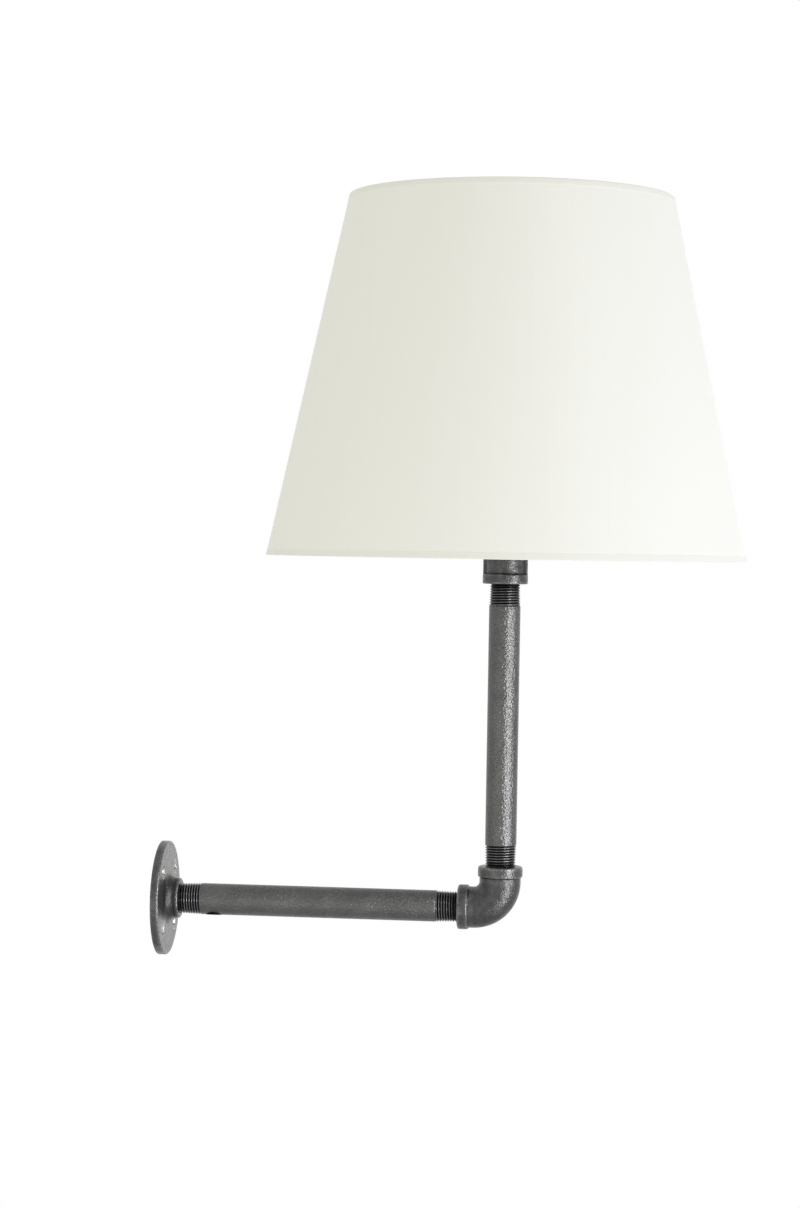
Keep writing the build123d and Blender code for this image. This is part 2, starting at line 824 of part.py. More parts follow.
# Finial: a turned ball on a neck, bored for the stud
ball_radius = finial_ball_diameter / 2
finial_neck = finial_neck_diameter / 2
ball_height = finial_neck_height + math.sqrt(ball_radius**2 - finial_neck**2)
finial_bore = stud_length - spider_washer_thickness + finial_bore_spare
finial_bore_radius = stud_radius + turning_clearance
with BuildPart() as finial:
    with BuildSketch(up_head(washer_top)):
        with BuildLine():
            Polyline(
                (0, ball_height + ball_radius),
                (0, finial_bore),
                (finial_bore_radius, finial_bore),
                (finial_bore_radius, 0),
                (finial_base_diameter / 2, 0),
                (finial_base_diameter / 2, finial_base_height),
                (finial_neck, finial_base_height),
                (finial_neck, finial_neck_height),
            )
            ThreePointArc(
                (finial_neck, finial_neck_height),
                (ball_radius, ball_height),
                (0, ball_height + ball_radius),
            )
        make_face()
    revolve(axis=head_axis)

pieces = {
    "wall_flange": wall_flange,
    "arm_pipe": arm_pipe,
    "cord_bush": cord_bush,
    "elbow": elbow,
    "riser_pipe": riser_pipe,
    "coupling": coupling,
    "reducing_bushing": reducing_bushing,
    "lamp_nipple": lamp_nipple,
    "lock_nut": lock_nut,
    "harp_saddle": harp_saddle,
    "harp_bow": harp_bow,
    "harp_ferrule_left": harp_ferrule_left,
    "harp_ferrule_right": harp_ferrule_right,
    "swivel_stud": swivel_stud,
    "socket_cap": socket_cap,
    "cap_set_screw": cap_set_screw,
    "socket_shell": socket_shell,
    "fibre_liner": fibre_liner,
    "switch_body": switch_body,
    "terminal_screw_live": terminal_screw_live,
    "terminal_screw_neutral": terminal_screw_neutral,
    "centre_contact": centre_contact,
    "switch_shaft": switch_shaft,
    "switch_knob": switch_knob,
    "screw_shell": screw_shell,
    "bulb_tip": bulb_tip,
    "bulb_collar": bulb_collar,
    "bulb_cap": bulb_cap,
    "bulb_glass": bulb_glass,
    "shade_cover": shade_cover,
    "shade_lining": shade_lining,
    "bottom_ring": bottom_ring,
    "shade_spider": shade_spider,
    "top_trim": top_trim,
    "bottom_trim": bottom_trim,
    "finial": finial,
}
os.makedirs("parts", exist_ok=True)
for name, piece in pieces.items():
    piece.part.label = name
    export_step(piece.part, f"parts/{name}.step")
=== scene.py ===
"""Looks of the pipe wall lamp: fine meshes, finishes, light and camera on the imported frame."""

import json
import math

import bmesh
import bpy
from mathutils import Matrix, Vector


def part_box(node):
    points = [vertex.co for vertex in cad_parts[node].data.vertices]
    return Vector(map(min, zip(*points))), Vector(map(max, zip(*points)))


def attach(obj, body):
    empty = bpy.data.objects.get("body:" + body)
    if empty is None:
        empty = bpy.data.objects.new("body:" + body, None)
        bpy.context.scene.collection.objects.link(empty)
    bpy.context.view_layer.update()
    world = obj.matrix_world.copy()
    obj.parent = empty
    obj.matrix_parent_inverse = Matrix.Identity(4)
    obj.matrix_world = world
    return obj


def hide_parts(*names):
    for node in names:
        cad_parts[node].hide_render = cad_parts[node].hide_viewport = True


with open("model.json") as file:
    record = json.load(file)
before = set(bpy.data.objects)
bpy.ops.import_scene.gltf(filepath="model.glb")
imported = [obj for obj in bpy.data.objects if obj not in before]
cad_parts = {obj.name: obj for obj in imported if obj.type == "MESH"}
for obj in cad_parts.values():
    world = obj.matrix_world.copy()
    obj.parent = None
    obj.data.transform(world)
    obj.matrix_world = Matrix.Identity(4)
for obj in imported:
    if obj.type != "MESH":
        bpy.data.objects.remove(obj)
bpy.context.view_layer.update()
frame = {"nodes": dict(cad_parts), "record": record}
MM = 0.001

# Camera fitted to the photograph: place in metres, angles in degrees, focal length in pixels
camera_place = Vector((0.39996, -1.96913, 0.24837))
camera_azimuth = 6.82
camera_drop = 1.17
camera_roll = 0.953
focal_pixels = 2875.7
image_height = 1208
sensor = 36.0

# Places read from the frame
_, flange_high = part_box("wall_flange")
arm_low, arm_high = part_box("arm_pipe")
riser_low, riser_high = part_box("riser_pipe")
_, elbow_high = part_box("elbow")
coupling_low, coupling_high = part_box("coupling")
harp_low, harp_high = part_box("harp_bow")
stud_low, stud_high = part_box("swivel_stud")
cap_low, cap_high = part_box("socket_cap")
screw_low, screw_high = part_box("cap_set_screw")
shell_low, shell_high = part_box("socket_shell")
knob_low, knob_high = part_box("switch_knob")
shaft_low, shaft_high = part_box("switch_shaft")
glass_low, glass_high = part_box("bulb_glass")
_, top_trim_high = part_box("top_trim")
bottom_trim_low, bottom_trim_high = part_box("bottom_trim")
spider_low, spider_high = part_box("shade_spider")
ring_low, ring_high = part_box("bottom_ring")
finial_low, finial_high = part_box("finial")
mounts = {mount["name"]: mount for mount in frame["record"]["mounts"]}
riser_x = (riser_low.x + riser_high.x) / 2
switch_z = (shaft_low.z + shaft_high.z) / 2

# Points round each kind of piece and along its curves
flange_segments = 160
coupling_segments = 128
round_segments = 96
finial_segments = 72
medium_segments = 64
small_segments = 48
screw_segments = 40
set_screw_segments = 32
wire_segments = 20
ring_segments = 192
flute_segments = 10
corner_steps = 6
harp_steps = 14
spider_steps = 12
elbow_steps = 24
passage_steps = 30
press_steps = 8
neck_steps = 18
ball_steps = 32
dome_steps = 28

# Limits for meshes: share of a side that a round may take, slope of an upright wire, weld distance
corner_share = 0.49
upright = 0.9
weld_distance = 1e-7

# Angles in degrees from which an edge stays sharp
sharp_angle = 32
thread_sharp = 28
cloth_sharp = 40
glass_sharp = 60

# Pipe and thread
pipe_radius = 10.8 * MM
pipe_bore = 7.9 * MM
thread_pitch = 1.814 * MM
thread_turns = 11
thread_depth = 0.95 * MM
thread_taper = 1 / 32
thread_flat = 0.14
thread_fade = 0.8
thread_chamfer = 0.8 * MM
thread_runout = 0.2 * MM
thread_samples = 14
thread_engaged = 4.5 * MM
# Painted shading, with oil, darkens the thread next to each fitting's mouth: over this length, down to the
# share below
thread_shade = 4.0 * MM
mouth_shading_least = 0.4
thread_length = thread_turns * thread_pitch
socket_bore = 10.4 * MM
cord_hole = mounts["cord_hole"]
cord_hole_radius = 5.8 * MM
bush_bore = cord_hole["dims"]["r_mm"] * MM
bush_slip = 0.02 * MM
bush_round = 0.3 * MM

# Fittings
flange_plate = 5.6 * MM
hub_flare = 4.0 * MM
hub_base = 15.5 * MM
hub_foot = hub_base + hub_flare / 3
hub_end = 13.8 * MM
flange_rounds = [0, 0.4 * MM, 1.1 * MM, hub_flare, hub_flare, 1.1 * MM, 0.5 * MM]
screw_angle = 45
sink_radius = 4.7 * MM
sink_edge = 0.1 * MM
overshoot = 1.0 * MM
elbow_body = 14.2 * MM
elbow_band = 7.0 * MM
elbow_band_step = 0.6 * MM
elbow_band_run = 1.0 * MM
elbow_bend = 18.0 * MM
elbow_rounds = [0.6 * MM, 1.5 * MM, 1.0 * MM, 0.8 * MM, 0]
coupling_body = 13.3 * MM
coupling_band = 6.5 * MM
coupling_step = 0.5 * MM
coupling_rounds = [0.6 * MM, 0.9 * MM, 0.9 * MM, 0.7 * MM]
rib_half = 1.5 * MM
rib_root = 2.0 * MM
rib_drop = 0.3 * MM
rib_rounds = [0, 0.7 * MM, 0.7 * MM, 0]
cast_step = 1.2 * MM
full_turn = 12.0
# Painted shading: share on the hub, growing away from the plate, and on the elbow's body
hub_painted_shading = 3.0
elbow_painted_shading = 0.45

# Harp and swivel stud
wire_radius = 1.7 * MM
harp_foot = 29.0 * MM
harp_leg = 41.0 * MM
harp_flare = 26.0 * MM
harp_side = 80.0 * MM
harp_crown = 16.0 * MM
harp_bends = [0, 25 * MM, 40 * MM, 60 * MM, 22 * MM]
pad_thickness = 4.6 * MM
pad_bore = 2.06 * MM
pad_rounds = [0.2 * MM, 0.9 * MM, 0.9 * MM, 0.2 * MM]
ferrule_wall = 0.8 * MM
lip_height = 1.6 * MM
lip_end = 2.2 * MM
lip_rise = 0.3 * MM
ferrule_rounds = [0.2 * MM] + [0.35 * MM] * 6 + [0.2 * MM]
rivet_radius = 2.0 * MM
rivet_head_radius = 3.3 * MM
rivet_head = 1.2 * MM
stud_flange = 1.6 * MM
stud_radius = 3.1 * MM
stud_root = 2.75 * MM
stud_pitch = 0.94 * MM
stud_plain = 2.4 * MM
stud_uncut = 3.0 * MM
stud_chamfer = 0.5 * MM

# Socket, switch and bulb
cap_hub = 8.5 * MM
cap_hole = 5.03 * MM
cap_hub_height = 5.0 * MM
cap_cone = 9.0 * MM
cap_wall = 0.8 * MM
cap_floor = 1.0 * MM
cap_rounds = [0, 0.6 * MM, 1.6 * MM, 4 * MM, 0.3 * MM, 0.3 * MM, 4 * MM, 1.6 * MM, 0]
set_screw_slip = 0.08 * MM
shell_radius = 16.1 * MM
shell_wall = 0.7 * MM
shell_bead = 0.9 * MM
shell_rim_angles = range(-80, 91, 17)
press_depths = (11 * MM, 8 * MM)
press_rise = 0.45 * MM
press_half = 1.1 * MM
switch_window = 2.6 * MM
knob_flutes = 14
knob_foot = 0.86
knob_taper = 2.5 * MM
knob_rounds = [0, 1 * MM, 2 * MM, 1.6 * MM, 0, 0, 0]
flute_depth = 0.5 * MM
flute_from = 0.8
bulb_ball = 30.0 * MM
bulb_neck = 12.7 * MM
bulb_tangent = math.radians(35)
bulb_wall = 1.0 * MM

# Shade and finial
frame_wire = 1.5 * MM
cover_thickness = 0.6 * MM
lining_thickness = 0.6 * MM
trim_height = 5.0 * MM
trim_thickness = 0.5 * MM
trim_gap = 0.1 * MM
laminate_gap = 0.05 * MM
trim_cover = trim_gap + trim_thickness
spider_arms = 3
spider_angle = 90
spider_start = 10.5 * MM
spider_level = 80.0 * MM
spider_bend = 24.0 * MM
washer_radius = 14.0 * MM
washer_bore = 3.2 * MM
washer_thickness = 1.6 * MM
washer_rounds = [0.1 * MM, 0.5 * MM, 0.5 * MM, 0.1 * MM]
shade_bottom, shade_top = bottom_trim_low.z, top_trim_high.z
shade_wide, shade_narrow = bottom_trim_high.y, 111.7 * MM
shade_slope = (shade_wide - shade_narrow) / (shade_top - shade_bottom)
ring_depth = cover_thickness + laminate_gap + lining_thickness
ring_depth += (frame_wire + trim_gap) * math.hypot(1, shade_slope)
lip_depth = ring_depth + frame_wire + trim_gap
cloth_segments = 240
cloth_rows = 24
hem_sink = 0.04 * MM
hem_proud = 0.15 * MM
hem_swell = 1.2 * MM
hem_turn = 1.4 * MM
hem_roll = 0.6 * MM
hem_soft = 2.2 * MM
hem_steps = 24
hem_lip = 0.2 * MM
cloth_end = 1.0 * MM
seam_turn = 0.055
seam_rise = 0.35 * MM
seam_fall = 0.3
seam_step = 0.02
finial_bore = 3.16 * MM
finial_wide = 6.5 * MM
finial_neck = 4.6 * MM
finial_ball = 7.5 * MM
finial_foot = 2.4 * MM
finial_neck_start = 2.6 * MM
finial_neck_end = 5.0 * MM
finial_rounds = [0.2 * MM, 0.5 * MM, 0.8 * MM, 0.6 * MM, 0]
finial_spare = 0.8 * MM

# Finishes in common: the middle range of noise, its mean, and the places of two tones in it
noise_middle = (0.3, 0.7)
noise_mean = 0.5
tone_places = (0.35, 0.65)
grain_detail = 3.0
blotch_detail = 5.0
finish_blotch = 8 * MM
plain_specular = 0.5
ramp_middle = 0.5

# Coated pipe: slow, pebbled and fine noise as (grain size, detail), their depths, tones as (place, colour)
pipe_noises = [(14 * MM, 5.0), (1.45 * MM, 2.0), (0.4 * MM, 3.0)]
pipe_depths = [0.05 * MM, 0.7 * MM, 0.03 * MM]
pipe_tones = [(0.36, (0.080, 0.080, 0.077)), (0.64, (0.115, 0.115, 0.111))]
# Thread tones from root to crest: painted shading in the roots, painted highlight with wear on the crests,
# and the crests' random spread
thread_tones = [(0.05, (0.008, 0.008, 0.008)), (0.5, (0.045, 0.045, 0.045)), (0.95, (0.20, 0.20, 0.20))]
crest_light_spread = (0.75, 1.1)
pipe_gloss = (0.27, 0.35)
pipe_metal = 0.85

# Coated casting: lumps, sand and specks, and its marks as (tone, least and greatest share)
cast_noises = [(4.5 * MM, 4.0), (1.1 * MM, 2.0), (0.35 * MM, 2.0)]
cast_depths = [0.4 * MM, 0.36 * MM, 0.02 * MM]
cast_tones = [(0.34, (0.048, 0.048, 0.048)), (0.5, (0.074, 0.074, 0.072)), (0.66, (0.108, 0.107, 0.103))]
cast_marks = {
    # darker in corners, bores, the hub and the elbow's body: painted shading where shade falls
    "painted_shading": ((0.022, 0.022, 0.022), 0.6, 0.9),
    # lighter on outward edges: painted highlight along the edges, with paint wear
    "edge": ((0.21, 0.21, 0.205), 0.0, 0.9),
    # light in the countersinks: painted glints, with bare metal
    "glint_and_bare": ((0.55, 0.53, 0.48), 0.0, 1.2),
}
cast_gloss = (0.36, 0.26)
cast_metal = 0.75

# Ivory fabric: its weave, and the width and height of its slubs
ivory = (0.795, 0.795, 0.700)
# Hem tone: painted shading, for less light through the doubled cloth and on the rolled rims
hem_shading_ivory = (0.755, 0.752, 0.652)
slub_tones = [(0.3, 0.992), (0.7, 1.006)]
weave = 0.5 * MM
slubs = [(1.6 * MM, 96 * MM), (8 * MM, 640 * MM)]
cloth_depths = [0.015 * MM, 0.012 * MM]
cloth_surface = {
    "Roughness": 0.5, "Sheen Weight": 0.12, "Sheen Roughness": 0.4, "Specular IOR Level": 0.1,
}

# Frosted glass
opal_noise = (6 * MM, 4.0)
opal_tones = [(0.3, (0.875, 0.875, 0.855)), (0.7, (0.89, 0.89, 0.87))]
opal_gloss = (0.28, 0.36)
opal_depth = 0.01 * MM
opal_surface = {"Transmission Weight": 0.12, "Coat Weight": 0.3, "Coat Roughness": 0.12}

# Other finishes by slot: two tones, grain size and depth in millimetres, gloss, metal share, specular
tones = {
    "zinc_steel": ((0.42, 0.42, 0.41), (0.58, 0.58, 0.56), 0.5, 0.01, (0.3, 0.45), 1.0),
    "nickel_wire": ((0.50, 0.48, 0.44), (0.64, 0.62, 0.58), 0.4, 0.006, (0.22, 0.36), 1.0),
    "socket_brass": ((0.56, 0.38, 0.15), (0.72, 0.52, 0.24), 0.5, 0.006, (0.24, 0.4), 1.0),
    "copper_shell": ((0.58, 0.30, 0.18), (0.74, 0.42, 0.27), 0.5, 0.008, (0.28, 0.42), 1.0),
    "liner_fibre": ((0.20, 0.13, 0.08), (0.33, 0.23, 0.15), 0.6, 0.03, (0.7, 0.85), 0.0),
    "phenolic": ((0.018, 0.016, 0.015), (0.035, 0.03, 0.028), 0.5, 0.01, (0.3, 0.45), 0.0),
    # bush: near black with no specular, so the cord hole reads as a dark gap: painted shade
    "bush_rubber": ((0.006, 0.006, 0.006), (0.014, 0.014, 0.014), 0.6, 0.03, (0.6, 0.75), 0.0, 0.0),
    "knob_plastic": ((0.012, 0.011, 0.01), (0.028, 0.025, 0.023), 0.6, 0.008, (0.2, 0.35), 0.0),
    "bulb_solder": ((0.40, 0.40, 0.39), (0.56, 0.56, 0.54), 0.6, 0.03, (0.3, 0.5), 1.0),
    "bulb_collar_glass": ((0.01, 0.01, 0.012), (0.02, 0.02, 0.025), 1.0, 0.005, (0.08, 0.16), 0.0),
    "bulb_metal": ((0.62, 0.62, 0.61), (0.78, 0.78, 0.77), 0.4, 0.006, (0.2, 0.34), 1.0),
    "shade_styrene": ((0.82, 0.82, 0.79), (0.835, 0.835, 0.805), 0.5, 0.006, (0.42, 0.5), 0.0),
}

# Surroundings and floor
fill_level = 0.855
floor_height = -2.7
floor_half = 3.0
floor_clear = 1.0
floor_cells = 8
floor_look = ((0.88, 0.88, 0.875), (0.91, 0.91, 0.905), 3.0, 0.02, (0.6, 0.7))
floor_blotch = 0.2

# Soft panels: turn from the front in degrees, distance, height, size, power, colour, diffuse, gloss
light_target = 0.2
white_light = (1.0, 1.0, 1.0)
cool_light = (0.745, 0.745, 1.0)
gleam_light = (1.0, 0.99, 0.985)
panels = {
    "key_panel": (64, 1.2, -0.35, (0.34, 0.9), 4.8, cool_light, True, True),
    "gleam_panel": (49, 1.8, 0.0, (0.34, 3.2), 64.0, gleam_light, False, True),
    "side_panel": (100, 1.4, -0.2, (0.9, 1.2), 4.3, cool_light, True, False),
    "back_panel": (166, 1.9, -0.1, (0.9, 1.2), 1.6, white_light, True, True),
    "front_panel": (-24, 1.3, -0.4, (0.8, 0.5), 1.8, white_light, True, True),
    "bounce_panel": (22, 0.9, -0.75, (0.8, 0.5), 2.95, cool_light, True, False),
}


def node_slot(node):
    """The record's material slot of a CAD node."""
    return next(part["material_slot"] for part in frame["record"]["subparts"] if part["node"] == node)


def node_body(node):
    """The body that a CAD node rides on."""
    bodies = frame["record"]["behaviour"]["bodies"]
    return next(body for body, members in bodies.items() if node in members)


# Materials

def new_material(name):
    """A material with its node tree and its surface shader."""
    material = bpy.data.materials.new(name)
    material.use_nodes = True
    return material, material.node_tree, material.node_tree.nodes["Principled BSDF"]


def feed(tree, node, inputs):
    """What enters a node: plain values, or links from outputs of other nodes."""
    for name, value in inputs.items():
        if isinstance(value, bpy.types.NodeSocket):
            tree.links.new(value, node.inputs[name])
        else:
            node.inputs[name].default_value = value


def noise_field(tree, size, detail):
    """Noise of a real grain size, in the piece's own coordinates."""
    place = tree.nodes.new("ShaderNodeTexCoord").outputs["Object"]
    field = tree.nodes.new("ShaderNodeTexNoise")
    feed(tree, field, {"Vector": place, "Scale": 1 / size, "Detail": detail})
    return field.outputs["Fac"]


def attribute(tree, name):
    """A value that the mesh carries at its points."""
    node = tree.nodes.new("ShaderNodeAttribute")
    node.attribute_name = name
    return node.outputs["Fac"]


def colour_ramp(tree, factor, stops):
    """Colour along a factor, from a list of (place, colour)."""
    ramp = tree.nodes.new("ShaderNodeValToRGB")
    elements = ramp.color_ramp.elements
    while len(elements) < len(stops):
        elements.new(ramp_middle)
    for element, (place, colour) in zip(elements, stops):
        element.position = place
        element.color = (*colour, 1)
    feed(tree, ramp, {"Fac": factor})
    return ramp.outputs["Color"]


def blend(tree, share, first, second):
    """A colour that gives way to a second one by a share."""
    node = tree.nodes.new("ShaderNodeMix")
    node.data_type = "RGBA"
    feed(tree, node, {"Factor": share, "A": first, "B": second})
    return node.outputs["Result"]


def spread(tree, factor, low, high):
    """A factor's middle range spread from low to high."""
    node = tree.nodes.new("ShaderNodeMapRange")
    start, end = noise_middle
    ends = {"From Min": start, "From Max": end, "To Min": low, "To Max": high}
    feed(tree, node, {"Value": factor, **ends})
    return node.outputs["Result"]


def combine(tree, operation, first, second):
    """Two factors joined by a maths operation; the second may be a number."""
    node = tree.nodes.new("ShaderNodeMath")
    node.operation = operation
    feed(tree, node, {0: first, 1: second})
    return node.outputs["Value"]


def mean(tree, first, second):
    """The mean of two factors."""
    return combine(tree, "MULTIPLY", combine(tree, "ADD", first, second), 0.5)


def bumps(tree, shader, layers):
    """Bump layers of (height factor, depth in metres) on a shader."""
    under = {}
    for height, depth in layers:
        node = tree.nodes.new("ShaderNodeBump")
        feed(tree, node, {"Strength": 1.0, "Distance": depth, "Height": height, **under})
        under = {"Normal": node.outputs["Normal"]}
    feed(tree, shader, under)


def grained(
    name, dark, light, grain, depth, gloss, metal=0.0, specular=plain_specular, blotch=finish_blotch
):
    """A finish with a fine grain and slow blotches in its colour, gloss and surface."""
    material, tree, shader = new_material(name)
    fine = noise_field(tree, grain * MM, grain_detail)
    slow = noise_field(tree, blotch, blotch_detail)
    both = mean(tree, fine, slow)
    colour = colour_ramp(tree, both, list(zip(tone_places, (dark, light))))
    feed(tree, shader, {"Base Color": colour, "Roughness": spread(tree, both, *gloss)})
    feed(tree, shader, {"Metallic": metal, "Specular IOR Level": specular})
    bumps(tree, shader, [(slow, depth * MM * 2), (fine, depth * MM)])
    return material


def threaded_coat():
    """Dark coated pipe: pebbled satin on the plain stretch; in the thread, oily black with painted shading
    in the roots and near the mouths, painted highlight with wear on the crests.
    """
    material, tree, shader = new_material("coated_pipe")
    slow, pebble, fine = (noise_field(tree, *noise) for noise in pipe_noises)
    both = mean(tree, pebble, slow)
    cut = attribute(tree, "thread")
    # tone in the thread: painted highlight on the crests, painted shading in the roots
    crest_light = combine(tree, "MULTIPLY", attribute(tree, "crest"), spread(tree, slow, *crest_light_spread))
    coat = blend(tree, cut, colour_ramp(tree, both, pipe_tones), colour_ramp(tree, crest_light, thread_tones))
    gloss = spread(tree, both, *pipe_gloss)
    feed(tree, shader, {"Base Color": coat, "Roughness": gloss, "Metallic": pipe_metal})
    uncut = combine(tree, "ADD", combine(tree, "MULTIPLY", cut, -1.0), 1.0)
    stipple = combine(tree, "MULTIPLY", combine(tree, "ADD", pebble, -noise_mean), uncut)
    bumps(tree, shader, zip((slow, stipple, fine), pipe_depths))
    return material


def cast_coat():
    """Dark glossy coat over rough cast iron, with painted highlight and wear on edges, painted shading in
    corners and bores, painted glints and bare metal in sunk holes.
    """
    material, tree, shader = new_material("coated_casting")
    lumps, sand, speck = (noise_field(tree, *noise) for noise in cast_noises)
    both = mean(tree, sand, lumps)
    coat = colour_ramp(tree, both, cast_tones)
    for name, (tone, low, high) in cast_marks.items():
        share = combine(tree, "MULTIPLY", attribute(tree, name), spread(tree, sand, low, high))
        coat = blend(tree, share, coat, (*tone, 1))
    gloss = spread(tree, both, *cast_gloss)
    feed(tree, shader, {"Base Color": coat, "Roughness": gloss, "Metallic": cast_metal})
    bumps(tree, shader, zip((lumps, sand, speck), cast_depths))
    return material


def woven(name):
    """Ivory fabric: a fine plain weave with faint upright slubs, and painted shading on the hems."""
    material, tree, shader = new_material(name)
    flat = tree.nodes.new("ShaderNodeUVMap")
    flat.uv_map = "weave"
    axes = tree.nodes.new("ShaderNodeSeparateXYZ")
    feed(tree, axes, {"Vector": flat.outputs["UV"]})
    threads, streaks = [], []
    for axis in ("X", "Y"):
        turns = combine(tree, "MULTIPLY", axes.outputs[axis], 2 * math.pi / weave)
        threads.append(combine(tree, "SINE", turns, 0.0))
    for width, height in slubs:
        scale = tree.nodes.new("ShaderNodeMapping")
        field = tree.nodes.new("ShaderNodeTexNoise")
        feed(tree, scale, {"Vector": flat.outputs["UV"], "Scale": (1 / width, 1 / height, 1)})
        feed(tree, field, {"Vector": scale.outputs["Vector"], "Scale": 1.0, "Detail": grain_detail})
        streaks.append(field.outputs["Fac"])
    cloth, both = combine(tree, "MULTIPLY", *threads), mean(tree, *streaks)
    shades = [(place, tuple(channel * level for channel in ivory)) for place, level in slub_tones]
    plain = colour_ramp(tree, both, shades)
    # hems take their painted shading
    colour = blend(tree, attribute(tree, "hem_painted_shading"), plain, (*hem_shading_ivory, 1))
    feed(tree, shader, {"Base Color": colour, **cloth_surface})
    bumps(tree, shader, zip((both, cloth), cloth_depths))
    return material


def opal_glass():
    """Frosted white glass of an unlit bulb."""
    material, tree, shader = new_material("opal_glass")
    mist = noise_field(tree, *opal_noise)
    colour, gloss = colour_ramp(tree, mist, opal_tones), spread(tree, mist, *opal_gloss)
    feed(tree, shader, {"Base Color": colour, "Roughness": gloss, **opal_surface})
    bumps(tree, shader, [(mist, opal_depth)])
    return material


finishes = {slot: grained(slot, *look) for slot, look in tones.items()}
finishes["dark_pipe_finish"] = threaded_coat()
finishes["dark_cast_finish"] = cast_coat()
finishes["frosted_glass"] = opal_glass()
for slot in ("shade_fabric", "trim_fabric"):
    finishes[slot] = woven(slot)


# Meshes

def circle(segments):
    """Angles evenly spaced round a turn."""
    return [2 * math.pi * step / segments for step in range(segments)]


def arc_points(centre, start, end, steps):
    """Points of the arc round a centre from one spoke to another."""
    turn = start.angle(end)
    points = []
    for step in range(steps + 1):
        share = step / steps
        spoke = (math.sin((1 - share) * turn) * start + math.sin(share * turn) * end) / math.sin(turn)
        points.append(tuple(centre + spoke))
    return points


def circle_points(out, up, size, angles):
    """Points of a half section on a circle."""
    return [(out + size * math.cos(angle), up + size * math.sin(angle)) for angle in angles]


def dome_angles(start, steps):
    """Angles from just after a start to the top."""
    return [start + (math.pi / 2 - start) * step / steps for step in range(1, steps + 1)]


def corner_arc(before, corner, after, radius, steps=corner_steps):
    """Points of the arc that rounds one corner of an outline."""
    if radius == 0:
        return [corner]
    corner, before, after = Vector(corner), Vector(before), Vector(after)
    back, ahead = (before - corner).normalized(), (after - corner).normalized()
    half = back.angle(ahead) / 2
    room = corner_share * min((before - corner).length, (after - corner).length)
    reach = min(radius / math.tan(half), room)
    centre = corner + (back + ahead).normalized() * reach * math.tan(half) / math.sin(half)
    return arc_points(centre, corner + back * reach - centre, corner + ahead * reach - centre, steps)


def rounded(points, radii, closed=True, steps=corner_steps):
    """An outline with its corners rounded, one radius for each point."""
    outline = []
    for number, (point, radius) in enumerate(zip(points, radii)):
        if not closed and number in (0, len(points) - 1):
            outline.append(point)
        else:
            after = points[(number + 1) % len(points)]
            outline.extend(corner_arc(points[number - 1], point, after, radius, steps))
    return outline


def around_head(radius, angle, along):
    """A point round the riser's axis."""
    return Vector((riser_x + radius * math.cos(angle), radius * math.sin(angle), along))


def around_arm(radius, angle, along):
    """A point round the arm's axis."""
    return Vector((along, radius * math.sin(angle), -radius * math.cos(angle)))


def around_switch(radius, angle, along):
    """A point round the switch's axis."""
    return Vector((riser_x + along, radius * math.cos(angle), switch_z + radius * math.sin(angle)))


def around_cord(radius, angle, along):
    """A point round the axis of the cord's hole."""
    way = Vector(cord_hole["axis"])
    ahead = Vector((1, 0, 0))
    out = math.cos(angle) * ahead + math.sin(angle) * way.cross(ahead)
    return Vector((cord_hole["pos_m"][0], 0, 0)) + way * along + radius * out


def skin(rings, loop=True, fields=None, uv=None):
    """A mesh through rings of points. loop joins the last ring to the first; fields are point values."""
    mesh = bmesh.new()
    layers = {name: mesh.verts.layers.float.new(name) for name in fields or {}}
    grid = []
    for row, ring in enumerate(rings):
        grid.append([mesh.verts.new(point) for point in ring])
        for name, layer in layers.items():
            for column, vertex in enumerate(grid[-1]):
                vertex[layer] = fields[name][row][column]
    cut = mesh.loops.layers.uv.new("weave") if uv else None
    for row in range(len(grid) if loop else len(grid) - 1):
        lower, upper = grid[row], grid[(row + 1) % len(grid)]
        for column in range(len(lower)):
            after = (column + 1) % len(lower)
            face = mesh.faces.new([lower[column], lower[after], upper[after], upper[column]])
            if cut:
                places = [(column, row), (column + 1, row), (column + 1, row + 1), (column, row + 1)]
                for corner, (across, up) in zip(face.loops, places):
                    corner[cut].uv = uv(across, up)
    bmesh.ops.remove_doubles(mesh, verts=mesh.verts, dist=weld_distance)
    bmesh.ops.recalc_face_normals(mesh, faces=mesh.faces)
    return mesh


def turned(outline, segments=round_segments, place=around_head, marks=None):
    """A closed half section of (radius, along) turned round an axis. Marks are values of its points."""
    fields = {name: [[value] * segments for value in values] for name, values in (marks or {}).items()}
    rings = [[place(radius, angle, along) for angle in circle(segments)] for radius, along in outline]
    return skin(rings, fields=fields)


def divided(outline):
    """A closed half section with points added so that no stretch of it is long."""
    points = []
    for number, point in enumerate(outline):
        after = outline[(number + 1) % len(outline)]
        count = max(1, math.ceil(math.dist(point, after) / cast_step))
        for step in range(count):
            share = step / count
            points.append(tuple(near + (far - near) * share for near, far in zip(point, after)))
    return points


def casting_light_and_wear(outline, extra_shading=lambda radius, along: 0):
    """Marks of a casting's section: painted highlight with wear where it turns outwards, painted shading
    where it turns in and where the given share asks for it.
    """
    turns = []
    for number, point in enumerate(outline):
        before, after = outline[number - 1], outline[(number + 1) % len(outline)]
        back = Vector(point) - Vector(before)
        ahead = Vector(after) - Vector(point)
        turns.append(math.degrees(back.angle_signed(ahead, 0)))
    way = -1 if sum(turns) < 0 else 1
    shares = [max(-1, min(1, way * turn / full_turn)) for turn in turns]
    painted_shading = [max(0, -share, extra_shading(*point)) for share, point in zip(shares, outline)]
    return {"edge": [max(0, share) for share in shares], "painted_shading": painted_shading}


